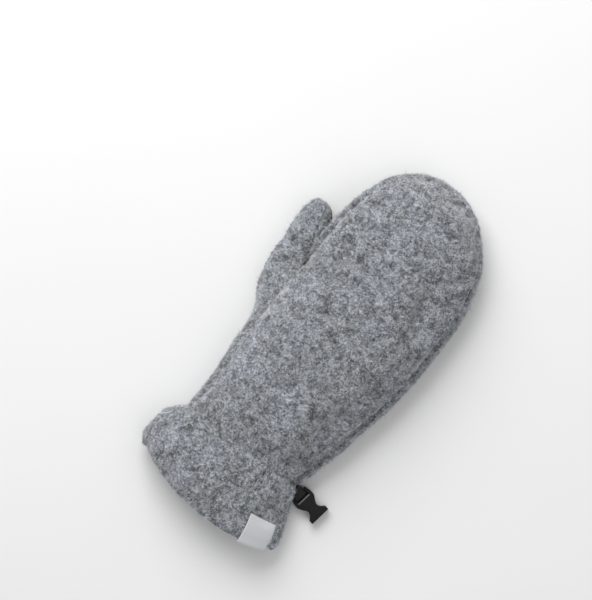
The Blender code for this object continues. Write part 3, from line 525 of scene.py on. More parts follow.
@dataclass
class MittenSkin:
    """The sewn skin: a fine net of rings that splits at the crotch into hand and thumb.

    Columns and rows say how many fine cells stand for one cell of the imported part's net, and the
    other numbers of rows are in cells of that net. Shares have no unit, and lengths are in metres.
    """

    bow_power: float = 2.3
    dome_power: float = 0.55
    ridge_across: float = -0.2
    crotch_to_thumb_tip: float = 0.0455
    thumb_root: float = 0.42
    thumb_reach: float = 0.0212
    thumb_width: float = 0.0280
    thumb_rise: float = 0.0180
    thumb_power: float = 0.88
    tip_push: float = 0.03
    tip_power: float = 0.6
    seam_rise: float = 0.0210
    floor_gap: float = 0.0003
    band_top: float = 0.0038
    band_under: float = 0.0160
    band_shoulder: float = 0.04
    band_foot: float = 0.02
    band_lean: float = math.radians(42)
    finger_foot: float = 0.85
    welt_valley: float = 0.0036
    valley_columns: float = 2.6
    palm_edge_rise: float = 0.0008
    palm_edge_fade: float = 6.0
    gathers: int = 12
    gather_depth: float = 0.0011
    gather_reach: float = 0.0150
    gather_onset: float = 4.0
    gather_drift: float = 1.5
    gather_drift_size: float = 0.02
    least_pull: float = 0.05
    pull_height: float = 0.008
    columns: int = 6
    rows: int = 8
    cuff_rows: int = 6
    heel_rows: int = 12
    finger_rows: int = 15
    fingertip_rows: int = 6
    thumb_rows: int = 11
    blend_rows: int = 5
    smoothing: int = 10
    dent_normals: int = 4
    wall_normals: int = 24
    quads: Quads = field(default_factory=list)
    tags: list[Panel] = field(default_factory=list)
    numbers: dict = field(default_factory=dict)
    found: list = field(default_factory=list)

    def __post_init__(self) -> None:
        """Works out how many fine cells each stretch of a ring has."""
        self.back_cells = 18 * self.columns
        self.band_cells = 6 * self.columns
        self.thumb_palm_cells = 8 * self.columns
        self.lens_cells = 6 * self.columns
        self.thumb_panel_cells = 8 * self.columns
        self.pinky_palm = self.back_cells + self.band_cells
        self.ridge = self.pinky_palm + 10 * self.columns
        self.thumb_palm = self.pinky_palm + 18 * self.columns
        self.ring = self.thumb_palm + self.band_cells
        self.half_thumb = self.ring - self.ridge
        self.thumb_ring = 2 * self.half_thumb

    def measures(self, outline: Outline, profile: Profile) -> Array:
        """One row of the tables turned into metres, in the order of a Measures.

        Args:
            outline: the ring from above.
            profile: the ring's heights.

        Returns:
            The values.
        """
        scales = [outline.run] * 4 + [outline.width] * 4 + [self.thumb_reach, profile.rise]
        scales += [self.seam_rise] * 2 + [self.thumb_rise, 1, self.welt_valley, 1]
        return np.array(outline[1:5] + outline[6:] + profile[1:]) * scales

    def level(self, ring: Measures, across: float, palm_share: float) -> float:
        """How far along the mitten a ring is at this point. The palm ends short of the tips.

        Args:
            ring: the ring's measures.
            across: from -1 at the thumb's side to 1.
            palm_share: 0 on the back and 1 on the palm.

        Returns:
            The distance from the wrist.
        """
        along = mix(ring.along_thumb, ring.along_pinky, (across + 1) / 2)
        along += ring.bow * (1 - abs(across) ** self.bow_power)
        if along <= 0:
            return along
        return along * (1 - palm_share * (self.band_under - self.band_top) / RUN)

    def band_point(self, top: tuple, bottom: tuple, widest: float, part: float, bulge: float) -> tuple:
        """A point on a side band, which bulges out to its widest between its two seams.

        Args:
            top: the upper seam, as (x, z).
            bottom: the lower seam, as (x, z).
            widest: how far out the band reaches.
            part: the share of the way down.
            bulge: how round the band is.

        Returns:
            The point, as (x, z).
        """
        reach = (8 * widest - top[0] - bottom[0]) / 6
        drop = top[1] - bottom[1]
        near = mix(mix(top[0], bottom[0], 1 / 3), reach, bulge)
        far = mix(mix(top[0], bottom[0], 2 / 3), reach, bulge)
        shoulder = mix(top[1] - drop / 3, top[1] - drop * self.band_shoulder, bulge)
        foot = mix(bottom[1] + drop / 3, bottom[1] + drop * self.band_foot, bulge)
        x = bezier((top[0], near, far, bottom[0]), part)
        return x, bezier((top[1], shoulder, foot, bottom[1]), part)

    def band_along(self, ring: Measures, across: float, part: float) -> float:
        """How far along a side band's point is. Near the tips the band bulges forwards too.

        Args:
            ring: the ring's measures.
            across: -1 at the thumb's side, 1 at the other.
            part: the share of the way down the band.

        Returns:
            The distance from the wrist.
        """
        top = self.level(ring, across, 0)
        bottom = self.level(ring, across, 1)
        forward = self.band_top * math.sin(ring.lean * self.band_lean)
        reach = (8 * (top + forward) - top - bottom) / 6
        return mix(mix(top, bottom, part), bezier((top, reach, reach, bottom), part), ring.lean)

    def narrowing(self, ring: Measures) -> float:
        """How much less a side band sticks out sideways where it bulges forwards."""
        return self.band_top * (1 - math.cos(ring.lean * self.band_lean))

    def back_columns(self, ring: Measures) -> list[Array]:
        """The back of the hand, from the thumb's side to the little finger's.

        Args:
            ring: the ring's measures.

        Returns:
            The points in turn.
        """
        middle = (ring.seam_thumb + ring.seam_pinky) / 2
        found = []
        for column in range(self.back_cells):
            even = 2 * column / self.back_cells - 1
            across = (even + math.sin(math.pi / 2 * even)) / 2
            part = (across + 1) / 2
            x = mix(ring.thumb_edge + self.band_top, ring.pinky_edge - self.band_top, part)
            dome = max(1 - abs(across) ** self.bow_power, 0.0) ** self.dome_power
            z = mix(ring.seam_thumb, ring.seam_pinky, part) + (ring.crown - middle) * dome
            found.append(np.array([x, self.level(ring, across, 0), z]))
        return found

    def pinky_columns(self, ring: Measures) -> list[Array]:
        """The side band at the little finger's side.

        Args:
            ring: the ring's measures.

        Returns:
            The points in turn.
        """
        top = (ring.pinky_edge - self.band_top, ring.seam_pinky)
        bottom = (ring.pinky_edge - self.band_under, self.palm_edge_rise)
        widest = ring.pinky_edge - self.narrowing(ring)
        found = []
        for column in range(self.band_cells):
            part = column / self.band_cells
            x, z = self.band_point(top, bottom, widest, part, 1.0)
            found.append(np.array([x, self.band_along(ring, 1, part), z]))
        return found

    def palm_columns(self, ring: Measures) -> list[Array]:
        """The palm, from the little finger's side to the ridge of the corded seam.

        Args:
            ring: the ring's measures.

        Returns:
            The points in turn.
        """
        cells = self.ridge - self.pinky_palm
        reach = self.valley_columns * self.columns
        found = []
        for column in range(cells):
            part = column / cells
            edge = self.palm_edge_rise * max(1 - part * self.palm_edge_fade, 0.0) ** 2
            valley = ring.valley * max(1 - (cells - column) / reach, 0.0)
            x = mix(ring.pinky_edge - self.band_under, ring.ridge, part)
            y = self.level(ring, mix(1, self.ridge_across, part), 1) - ring.dip * ease(part)
            found.append(np.array([x, y, max(edge, valley)]))
        return found

    def thumb_side_columns(self, ring: Measures, heel: bool) -> list[Array]:
        """From the ridge to the back's seam.

        Args:
            ring: the ring's measures.
            heel: whether the ring bulges into the thumb. One past the crotch goes over it.

        Returns:
            The points in turn.
        """
        widest = ring.thumb_edge - (ring.heel if heel else 0.0)
        bulge = 1.0 if heel else ring.bulge
        foot = widest + self.band_under * (1.0 if heel else self.finger_foot)
        rise = self.palm_edge_rise if heel else max(ring.lift, self.palm_edge_rise)
        found = []
        for column in range(self.thumb_palm_cells):
            part = column / self.thumb_palm_cells
            if heel and column <= self.lens_cells:
                x = mix(ring.ridge, ring.lens, column / self.lens_cells)
            elif heel:
                beyond = self.thumb_palm_cells - self.lens_cells
                x = mix(ring.lens, foot, (column - self.lens_cells) / beyond)
            else:
                x = mix(ring.ridge, foot, part)
            valley = ring.valley * max(1 - column / (self.valley_columns * self.columns), 0.0)
            if heel:
                z = max(valley, rise * ease(part * 3 - 2))
            else:
                z = mix(ring.valley, rise, (ease(part) + part) / 2)
            dip = ring.dip * (1 - ease(column / self.half_thumb))
            y = self.level(ring, mix(self.ridge_across, -1, part), 1) - dip
            found.append(np.array([x, y, z]))
        top = (ring.thumb_edge + self.band_top, ring.seam_thumb)
        for column in range(self.band_cells):
            part = 1 - column / self.band_cells
            side = widest + self.narrowing(ring)
            x, z = self.band_point(top, (foot, rise), side, part, bulge)
            dip = ring.dip * (1 - ease((column + self.thumb_palm_cells) / self.half_thumb))
            found.append(np.array([x, self.band_along(ring, -1, part) - dip, z]))
        return found

    def rings(self, outlines: Sequence, profiles: Sequence, places: Array, heel: bool) -> list:
        """Works out the rings at these places in the tables.

        Args:
            outlines: the rows of the outlines' table.
            profiles: the rows of the profiles' table.
            places: row numbers, with fractions.
            heel: whether the rings lie on the heel's side of the crotch.

        Returns:
            A list of points for each ring.
        """
        rows = [self.measures(outline, profile) for outline, profile in zip(outlines, profiles)]
        found = []
        for place in places:
            ring = Measures(*(float(value) for value in through(rows, place)))
            points = self.back_columns(ring) + self.pinky_columns(ring)
            found.append(points + self.palm_columns(ring) + self.thumb_side_columns(ring, heel))
        return found

    def fingertip_cap(self, last: list) -> list[list[Array]]:
        """The side band across the fingertips.

        Args:
            last: the last ring of the fingers.

        Returns:
            A grid of points, a column from the back down to the palm at each place.
        """
        grid = []
        for column in range(self.back_cells + 1):
            top = last[column]
            bottom = last[self.thumb_palm - column]
            tangent = last[min(column + 1, self.back_cells)] - last[max(column - 1, 0)]
            outward = unit(np.array([-tangent[1], tangent[0], 0.0]))
            reach = (8 * (top + outward * self.band_top) - top - bottom) / 6
            drop = top[2] - bottom[2]
            shoulder = np.array([reach[0], reach[1], top[2] - drop * self.band_shoulder])
            foot = np.array([reach[0], reach[1], bottom[2] + drop * self.band_foot])
            parts = np.linspace(0, 1, self.band_cells + 1)
            grid.append([bezier((top, shoulder, foot, bottom), part) for part in parts])
        grid[0] = [last[(self.ring - row) % self.ring] for row in range(self.band_cells + 1)]
        grid[-1] = [last[self.back_cells + row] for row in range(self.band_cells + 1)]
        return grid

    def thumb_section(self, station: Array, angle: float) -> tuple[float, float]:
        """A point on the thumb's rounded section, which rests on the floor.

        Args:
            station: the section's measures.
            angle: the way round it.

        Returns:
            The point, as (x, z).
        """
        _, reach, width, rise = station
        half_width = width * self.thumb_width / 2
        outer = -(self.thumb_root * HAND + reach * self.thumb_reach)
        cosine = math.cos(angle)
        sine = math.sin(angle)
        x = outer + half_width * (1 + math.copysign(abs(cosine) ** self.thumb_power, cosine))
        z = 1 + rise * math.copysign(abs(sine) ** self.thumb_power, sine)
        return x, z * self.thumb_rise / 2 + self.floor_gap

    def thumb_rings(self, heel_ring: list, hand_ring: list) -> list[list[Array]]:
        """The thumb's rings, from the mouth that the crotch leaves to the tip.

        Args:
            heel_ring: the last ring of the heel.
            hand_ring: the first ring of the fingers.

        Returns:
            A list of points for each ring.
        """
        mouth = heel_ring[self.ridge :] + heel_ring[:1] + hand_ring[: self.ridge : -1]
        tip = heel_ring[0][1] + self.crotch_to_thumb_tip
        stations = [np.array(station) for station in THUMB_STATIONS]
        cells, degrees = zip(*THUMB_BEARINGS)
        at = np.arange(self.thumb_ring) / self.columns
        angles = np.radians(np.interp(at, cells, degrees))
        count = self.thumb_rows * self.rows
        found = [mouth]
        for row in range(1, count + 1):
            station = through(stations, row / count * (len(stations) - 1))
            blend = ease(row / (self.blend_rows * self.rows))
            ring = []
            for start, angle in zip(mouth, angles):
                x, z = self.thumb_section(station, angle)
                y = mix(start[1], tip, station[0])
                ring.append(np.array([mix(start[0], x, blend), y, mix(start[2], z, blend)]))
            found.append(ring)
        return found

    def thumb_cap(self, last: list) -> list[list[Array]]:
        """A patch that closes the thumb's last ring, pushed out to the tip of the thumb.

        Args:
            last: the last ring.

        Returns:
            A grid of points.
        """
        wide = self.lens_cells
        high = self.thumb_panel_cells
        grid = [[last[0]] * (high + 1) for _ in range(wide + 1)]
        corners = last[0], last[wide], last[wide + high], last[2 * wide + high]
        for i in range(wide + 1):
            for j in range(high + 1):
                u = i / wide
                v = j / high
                left = last[(self.thumb_ring - j) % self.thumb_ring]
                sides = mix(last[i], last[2 * wide + high - i], v) + mix(left, last[wide + j], u)
                point = sides - mix(mix(corners[0], corners[1], u), mix(corners[3], corners[2], u), v)
                swell = 16 * u * (1 - u) * v * (1 - v)
                push = self.tip_push * self.crotch_to_thumb_tip * swell**self.tip_power
                grid[i][j] = point + np.array([0, push, 0])
        return grid

    def number(self, point: Array) -> int:
        """The number of the point here, which is new or the one that is already here.

        Args:
            point: where it is.

        Returns:
            Its number.
        """
        key = tuple(round(value * STEPS_PER_METRE) for value in point)
        if key not in self.numbers:
            self.numbers[key] = len(self.found)
            self.found.append(point)
        return self.numbers[key]

    def tube(self, rings: list, stops: Sequence[tuple[Panel, int]]) -> None:
        """Adds the cells between closed rings.

        Args:
            rings: the rings in turn.
            stops: the panels round the rings, each with the column at which it ends.
        """
        marks = [[self.number(point) for point in ring] for ring in rings]
        tags: list[Panel] = []
        for panel, stop in stops:
            tags += [panel] * (stop - len(tags))
        for near, far in zip(marks, marks[1:]):
            for column, tag in enumerate(tags):
                after = (column + 1) % len(near)
                self.quads.append([near[column], near[after], far[after], far[column]])
                self.tags.append(tag)

    def patch(self, grid: list, tag: Panel) -> None:
        """Adds the cells of a grid of points, all of one panel.

        Args:
            grid: the points.
            tag: the panel.
        """
        marks = [[self.number(point) for point in line] for line in grid]
        for near, far in zip(marks, marks[1:]):
            for row in range(len(near) - 1):
                self.quads.append([near[row], far[row], far[row + 1], near[row + 1]])
                self.tags.append(tag)

    def sew(self) -> None:
        """Builds the net, smooths it, presses the gathers and dents in and seats it in the frame."""
        wrist = len(CUFF_OUTLINES) - 1
        tips = len(HAND_OUTLINES) - 1
        cuff_places = np.linspace(0, wrist, self.cuff_rows * self.rows + 1)
        cuff = self.rings(CUFF_OUTLINES, CUFF_PROFILES, cuff_places, True)
        heel_places = np.linspace(0, CROTCH_RING, self.heel_rows * self.rows + 1)
        heel = self.rings(HAND_OUTLINES, HAND_PROFILES, heel_places, True)
        finger_places = np.linspace(CROTCH_RING, tips, self.finger_rows * self.rows + 1)
        fingers = self.rings(HAND_OUTLINES, HAND_PROFILES, finger_places, False)
        thumb = self.thumb_rings(heel[-1], fingers[0])
        upper = [(Panel.BACK, self.back_cells), (Panel.BAND, self.pinky_palm)]
        lens = (Panel.GRIP, self.ridge + self.lens_cells)
        band = (Panel.BAND, self.ring)
        self.tube(cuff, [(Panel.CUFF, self.ring)])
        self.tube(heel, [*upper, (Panel.PALM, self.ridge), lens, (Panel.THUMB, self.ring)])
        row = self.fingertip_rows * self.rows
        self.tube(fingers[: row + 1], [*upper, (Panel.PALM, self.thumb_palm), band])
        self.tube(fingers[row:], [*upper, (Panel.FINGERTIP, self.thumb_palm), band])
        self.patch(self.fingertip_cap(fingers[-1]), Panel.BAND)
        strip = (Panel.STRIP, self.half_thumb + self.band_cells)
        grip = [(Panel.GRIP, self.lens_cells), (Panel.GRIP, self.thumb_ring)]
        self.tube(thumb, [grip[0], (Panel.THUMB, self.half_thumb), strip, grip[1]])
        self.patch(self.thumb_cap(thumb[-1]), Panel.THUMB)
        self.cuff_net = np.array([[self.number(p) for p in ring] for ring in cuff])
        self.ridge_line = np.array([self.number(ring[self.ridge]) for ring in heel])
        self.crotch = np.array([self.number(p) for p in fingers[0][self.thumb_palm :]])
        self.points = np.array(self.found)
        self.edges = self.edge_list()
        self.even_out(self.smoothing)
        self.normals = self.find_normals(self.dent_normals)
        self.points = self.points - self.normals * self.crumple()[:, None]
        self.seat()
        self.normals = self.find_normals(self.wall_normals)
        self.seam_away = self.away_from(np.concatenate([self.seam_points(), self.cuff_net[0]]))
        log.info("skin: %d points, %d cells", len(self.points), len(self.quads))

    def edge_list(self) -> Array:
        """Every edge of the net once, as two numbers of points."""
        quads = np.array(self.quads)
        sides = [quads[:, [corner, (corner + 1) % 4]] for corner in range(4)]
        return np.unique(np.sort(np.concatenate(sides), axis=1), axis=0)

    def spread(self, values: Array) -> Array:
        """The sum of each point's neighbours' values.

        Args:
            values: the points' values, one row for each.

        Returns:
            The sums, one row for each.
        """
        ends = np.concatenate([self.edges[:, 0], self.edges[:, 1]])
        others = np.concatenate([self.edges[:, 1], self.edges[:, 0]])
        count = len(values)
        columns = [np.bincount(ends, values[others, axis], count) for axis in range(values.shape[1])]
        return np.stack(columns, axis=1)

    def even_out(self, rounds: int) -> None:
        """Smooths the net's creases. The hem stays where it is.

        Args:
            rounds: how many times.
        """
        neighbours = self.spread(np.ones((len(self.points), 1)))
        hem = self.cuff_net[0]
        for _ in range(rounds):
            held = self.points[hem].copy()
            self.points = (self.points + self.spread(self.points) / neighbours) / 2
            self.points[hem] = held

    def find_normals(self, rounds: int) -> Array:
        """The normal at every point.

        Args:
            rounds: how many times each one is evened out with its neighbours.

        Returns:
            One normal for each point.
        """
        quads = np.array(self.quads)
        across = self.points[quads[:, 2]] - self.points[quads[:, 0]]
        up = self.points[quads[:, 3]] - self.points[quads[:, 1]]
        face = np.cross(across, up)
        count = len(self.points)
        sums = [np.bincount(quads[:, c], face[:, axis], count) for axis in range(3) for c in range(4)]
        total = np.stack([sum(sums[4 * axis : 4 * axis + 4]) for axis in range(3)], axis=1)
        found = unit(total)
        for _ in range(rounds):
            found = unit(found + self.spread(found) / 2)
        return found

    def crumple(self) -> Array:
        """How deep the gathers at the wrist and the dents in the back are at each point."""
        x, y, z = self.points.T
        angle = np.arctan2(z - WRIST_RISE / 2, x)
        fade = np.clip(1 - np.abs(y) / self.gather_reach, 0, None) ** 2
        lifted = np.clip((z - 2 * self.gather_depth) / self.seam_rise * self.gather_onset, 0, 1)
        drift = self.gather_drift * noise_at(self.points, self.gather_drift_size, Layer.WRIST)
        wave = np.cos(self.gathers * angle + drift)
        depth = self.gather_depth * fade * lifted * wave
        upward = np.maximum(self.normals[:, 2], 0)
        for mark in DENTS:
            turn = math.radians(mark.turn)
            right = x - mark.across * HAND
            ahead = y - mark.along * RUN
            along = (ahead * math.cos(turn) - right * math.sin(turn)) / (mark.length * HAND)
            across = (ahead * math.sin(turn) + right * math.cos(turn)) / (mark.width * HAND)
            depth += mark.depth * HAND_RISE * np.exp(-(along**2) - across**2) * upward
        return depth

    def seat(self) -> None:
        """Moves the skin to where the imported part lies."""
        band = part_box(Panel.BAND.value)
        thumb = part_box(Panel.THUMB.value)
        low = self.points.min(axis=0)
        high = self.points.max(axis=0)
        self.points += np.array([thumb[0].x - low[0], band[1].y - high[1], -low[2]])

    def seam_points(self) -> Array:
        """The numbers of the points where two panels meet."""
        sides: dict[tuple[int, int], Panel] = {}
        met = set()
        for quad, tag in zip(self.quads, self.tags):
            for start, end in zip(quad, quad[1:] + quad[:1]):
                key = (min(start, end), max(start, end))
                if sides.setdefault(key, tag) is not tag:
                    met.update(key)
        return np.array(sorted(met))

    def seam_pull(self) -> Array:
        """How deep a seam draws the fleece in at each point: in full low down, else as the table says."""
        x, y, z = self.points.T
        found = np.full_like(x, self.least_pull)
        for draw in DRAWS:
            sideways = np.clip((x - draw.x_start) / draw.x_reach, 0, 1)
            lengthwise = np.clip((y - draw.y_start) / draw.y_reach, 0, 1)
            found = np.maximum(found, draw.strength * sideways * lengthwise)
        return 1 - np.clip(z / self.pull_height, 0, 1) * (1 - found)

    def away_from(self, marks: Array) -> Array:
        """How far each point of the skin is from the nearest of these points.

        Args:
            marks: the numbers of these points.

        Returns:
            The distances.
        """
        tree = KDTree(len(marks))
        for index, mark in enumerate(marks):
            tree.insert(self.points[mark], index)
        tree.balance()
        return np.array([tree.find(point)[2] for point in self.points])


class Nodes:
    """A node tree being filled in, with short ways to add and link its nodes."""

    def __init__(self, tree: bpy.types.NodeTree) -> None:
        """Keeps the tree."""
        self.tree = tree

    def add(self, kind: str, inputs: Optional[dict] = None, **settings: object) -> bpy.types.Node:
        """Adds a node.

        Args:
            kind: the node's type, without its ShaderNode.
            inputs: a value, or a socket to link, for each input by name or number.
            settings: the node's own properties.

        Returns:
            The node.
        """
        node = self.tree.nodes.new("ShaderNode" + kind)
        for name, value in settings.items():
            setattr(node, name, value)
        self.give(node, inputs or {})
        return node

    def give(self, node: bpy.types.Node, inputs: dict) -> None:
        """Gives a node's inputs their values. A socket is linked, anything else is set.

        Args:
            node: the node.
            inputs: the values by the inputs' names.
        """
        for name, value in inputs.items():
            if isinstance(value, Socket):
                self.tree.links.new(value, node.inputs[name])
            else:
                node.inputs[name].default_value = value

    def place(self) -> Socket:
        """The place on the object, in metres."""
        return self.add("TexCoord").outputs["Object"]

    def drifted(self, place: Socket, scale: float, reach: float) -> Socket:
        """A place moved about by noise, so that a pattern there is less even.

        Args:
            place: the place.
            scale: the noise's scale.
            reach: how far it moves.

        Returns:
            The moved place.
        """
        drift = self.add("TexNoise", {"Vector": place, "Scale": scale, "Detail": 2.0}).outputs[1]
        moved = self.add("VectorMath", {0: drift, 1: (reach, reach, reach)}, operation="MULTIPLY")
        return self.add("VectorMath", {0: place, 1: moved.outputs[0]}, operation="ADD").outputs[0]

    def math(self, operation: str, *values: Input) -> Socket:
        """The result of a sum on numbers or sockets."""
        return self.add("Math", dict(enumerate(values)), operation=operation).outputs[0]

    def ramp(self, factor: Socket, *stops: tuple) -> Socket:
        """A colour ramp.

        Args:
            factor: the value to look up.
            stops: a place and a grey or a colour for each stop.

        Returns:
            The ramp's colour.
        """
        node = self.add("ValToRGB", {0: factor})
        elements = node.color_ramp.elements
        while len(elements) < len(stops):
            elements.new(0.5)
        for element, (place, shade) in zip(elements, stops):
            element.position = place
            element.color = (*shade, 1) if isinstance(shade, tuple) else (shade, shade, shade, 1)
        return node.outputs[0]

    def blend(self, factor: Input, first: Input, second: Input, kind: str = "MIX") -> Socket:
        """Two colours, mixed by a factor. Each of the three may be a socket.

        Args:
            factor: the second one's share.
            first: the first colour.
            second: the second colour.
            kind: how they are mixed.

        Returns:
            The mixed colour.
        """
        inputs = {0: factor}
        for place, value in ((6, first), (7, second)):
            inputs[place] = (*value, 1) if isinstance(value, tuple) else value
        return self.add("Mix", inputs, data_type="RGBA", blend_type=kind).outputs[2]

    def noise(
        self, vector: Input, scale: Input, detail: Input = 3.0, rough: Input = 0.5, warp: Input = 0.0
    ) -> Socket:
        """A noise texture's value, for a size given as bumps in a metre."""
        inputs = {"Vector": vector, "Scale": scale, "Detail": detail, "Roughness": rough, "Distortion": warp}
        return self.add("TexNoise", inputs).outputs[0]


class EffectGroup:
    """A shader node group that more than one material uses."""

    def __init__(self, name: str, inputs: dict[str, tuple], outputs: dict[str, str]) -> None:
        """Makes the group's sockets.

        Args:
            name: the group's name.
            inputs: the kind and the usual value of each input.
            outputs: the kind of each output.
        """
        self.group = bpy.data.node_groups.new(name, "ShaderNodeTree")
        self.nodes = Nodes(self.group)
        for label, (kind, value) in inputs.items():
            socket = self.group.interface.new_socket(label, in_out="INPUT", socket_type="NodeSocket" + kind)
            socket.default_value = value
        for label, kind in outputs.items():
            self.group.interface.new_socket(label, in_out="OUTPUT", socket_type="NodeSocket" + kind)
        self.start = self.group.nodes.new("NodeGroupInput")
        self.end = self.group.nodes.new("NodeGroupOutput")

    def put_out(self, label: str, socket: Socket) -> None:
        """Links a value to one of the group's outputs."""
        self.group.links.new(socket, self.end.inputs[label])

    def place(self, nodes: Nodes, **values: Input) -> bpy.types.Node:
        """Puts the group in a material with the material's own values.

        Args:
            nodes: the material's nodes.
            values: the values by the inputs' names.

        Returns:
            The group's node there.
        """
        node = nodes.tree.nodes.new("ShaderNodeGroup")
        node.node_tree = self.group
        for name, value in values.items():
            node.inputs[name].default_value = (*value, 1) if isinstance(value, tuple) else value
        return node


@cache
def heather_effect() -> EffectGroup:
    """Felted fibres of mixed greys: the colour, with painted shade in the nubs' hollows, and the height of
    the nubs.
    """
    inputs = {
        "Light": ("Color", (0.5, 0.5, 0.5, 1)),
        "Middle": ("Color", (0.3, 0.3, 0.3, 1)),
        "Dark": ("Color", (0.1, 0.1, 0.1, 1)),
        "Nubs": ("Float", 420.0),
        # Shade: how far the nubs' hollows are darkened, as painted shade
        "Shade": ("Float", 0.45),
    }
    effect = EffectGroup("heather_fibres", inputs, {"Color": "Color", "Height": "Float"})
    nodes = effect.nodes
    given = effect.start.outputs
    place = nodes.place()
    warped = nodes.drifted(place, 260.0, 0.0045)
    fibres = nodes.noise(warped, 640.0, 5.0, 0.66, 1.2)
    flecks = nodes.noise(warped, 470.0, 3.0, 0.55, 2.2)
    wisps = nodes.noise(warped, 900.0, 4.0, 0.6, 2.8)
    shape = {"Vector": warped, "Scale": given["Nubs"], "Smoothness": 0.6}
    cells = nodes.add("TexVoronoi", shape, feature="SMOOTH_F1")
    hollow = nodes.ramp(cells.outputs["Distance"], (0.25, 0.0), (0.75, 1.0))
    tone = nodes.ramp(fibres, (0.42, 0.0), (0.58, 1.0))
    colour = nodes.blend(tone, given["Middle"], given["Light"])
    dark = nodes.ramp(flecks, (0.50, 0.0), (0.62, 1.0))
    colour = nodes.blend(nodes.math("MULTIPLY", dark, 0.80), colour, given["Dark"])
    pale = nodes.ramp(wisps, (0.57, 0.0), (0.68, 1.0))
    colour = nodes.blend(nodes.math("MULTIPLY", pale, 0.7), colour, given["Light"])
    # Painted shade: the colour darkens towards the dark grey in the hollows between the nubs
    shadow = nodes.math("MULTIPLY", hollow, given["Shade"])
    colour = nodes.blend(shadow, colour, given["Dark"])
    blotches = nodes.ramp(nodes.noise(place, 150.0, 3.0, 0.6), (0.34, 0.58), (0.64, 1.25))
    colour = nodes.blend(1.0, colour, blotches, "MULTIPLY")
    cool, warm = (1.06, 1.08, 1.15), (0.80, 0.82, 0.80)
    wide = nodes.ramp(nodes.noise(place, 40.0, 3.0, 0.55), (0.35, warm), (0.66, cool))
    effect.put_out("Color", nodes.blend(1.0, colour, wide, "MULTIPLY"))
    rise = nodes.math("SUBTRACT", nodes.math("MULTIPLY", fibres, 0.8), nodes.math("MULTIPLY", hollow, 0.7))
    effect.put_out("Height", nodes.math("ADD", rise, nodes.math("MULTIPLY", wisps, 0.35)))
    return effect


@cache
def grain_effect() -> EffectGroup:
    """Leather grain: the height of its pebbles and creases, and a mask of its worn high spots."""
    inputs = {"Pebbles": ("Float", 900.0), "Creases": ("Float", 160.0), "Fineness": ("Float", 0.4)}
    effect = EffectGroup("leather_grain", inputs, {"Height": "Float", "Wear": "Float"})
    nodes = effect.nodes
    given = effect.start.outputs
    place = nodes.place()
    shape = {"Vector": nodes.drifted(place, 420.0, 0.0016), "Scale": given["Pebbles"]}
    pebble = nodes.add("TexVoronoi", shape, feature="DISTANCE_TO_EDGE")
    raised = nodes.ramp(pebble.outputs["Distance"], (0.0, 0.0), (0.26, 1.0))
    fold = nodes.noise(place, given["Creases"], 4.0, 0.6, 0.8)
    crease = nodes.math("ABSOLUTE", nodes.math("SUBTRACT", fold, 0.5))
    line = nodes.ramp(crease, (0.0, 0.0), (0.07, 1.0))
    fine = nodes.noise(place, 3200.0, 3.0, 0.6)
    grain = nodes.math("ADD", raised, nodes.math("MULTIPLY", fine, given["Fineness"]))
    effect.put_out("Height", nodes.math("ADD", grain, nodes.math("MULTIPLY", line, 0.8)))
    broad = nodes.noise(place, 46.0, 4.0, 0.6)
    worn = nodes.math("MULTIPLY", nodes.ramp(broad, (0.42, 0.0), (0.72, 1.0)), raised)
    effect.put_out("Wear", worn)
    return effect


@cache
def rib_effect() -> EffectGroup:
    """Woven ribs across one direction, crossed by finer threads. The shade is painted shade, darkest in the
    grooves between the ribs, with random tone from stray threads.
    """
    inputs = {"Turn": ("Float", 0.0), "Ribs": ("Float", 1500.0), "Threads": ("Float", 3000.0)}
    effect = EffectGroup("woven_ribs", inputs, {"Height": "Float", "Shade": "Float"})
    nodes = effect.nodes
    given = effect.start.outputs
    place = nodes.place()
    turned = nodes.add("VectorRotate", {"Vector": place, "Angle": given["Turn"]}, rotation_type="Z_AXIS")
    parts = nodes.add("SeparateXYZ", {0: turned.outputs[0]})
    rib = nodes.math("SINE", nodes.math("MULTIPLY", parts.outputs[0], given["Ribs"]))
    thread = nodes.math("SINE", nodes.math("MULTIPLY", parts.outputs[1], given["Threads"]))
    weave = nodes.math("MULTIPLY", nodes.math("ABSOLUTE", rib), nodes.math("MULTIPLY_ADD", thread, 0.3, 0.7))
    stray = nodes.noise(place, 2400.0, 3.0, 0.6)
    effect.put_out("Height", nodes.math("ADD", weave, nodes.math("MULTIPLY", stray, 0.35)))
    # Painted shade: darkest in the grooves between the ribs, with random tone from the stray threads
    effect.put_out("Shade", nodes.math("MULTIPLY_ADD", weave, 0.6, nodes.math("MULTIPLY", stray, 0.5)))
    return effect


def new_material(name: str) -> tuple[Material, Nodes, bpy.types.Node]:
    """Makes a material with nodes.

    Args:
        name: the material's name.

    Returns:
        The material, its nodes and its shader.
    """
    made = bpy.data.materials.new(name)
    made.use_nodes = True
    return made, Nodes(made.node_tree), made.node_tree.nodes["Principled BSDF"]


def bump(
    nodes: Nodes, shader: bpy.types.Node, height: Input, distance: float, strength: float = 1.0
) -> None:
    """Gives a shader relief from a height's socket. A height of 1 is the distance high."""
    node = nodes.add("Bump", {"Strength": strength, "Distance": distance, "Height": height})
    nodes.give(shader, {"Normal": node.outputs[0]})


@dataclass(frozen=True)
class FleeceFinish:
    """Heather wool fleece, with painted shade in the hollows between its nubs."""

    name: str
    light: Colour
    middle: Colour
    dark: Colour
    nubs: float = 430.0
    # how deep the painted shade in the nubs' hollows is
    shade: float = 0.42
    relief: float = 0.0010

    def material(self) -> Material:
        """The fleece's material."""
        made, nodes, shader = new_material(self.name)
        values = {"Light": self.light, "Middle": self.middle, "Dark": self.dark}
        fibres = heather_effect().place(nodes, **values, Nubs=self.nubs, Shade=self.shade)
        nodes.give(shader, {"Base Color": fibres.outputs["Color"], "Roughness": 0.95})
        nodes.give(shader, {"Specular IOR Level": 0.18, "Sheen Weight": 0.6, "Sheen Roughness": 0.5})
        bump(nodes, shader, fibres.outputs["Height"], self.relief, 0.9)
        return made


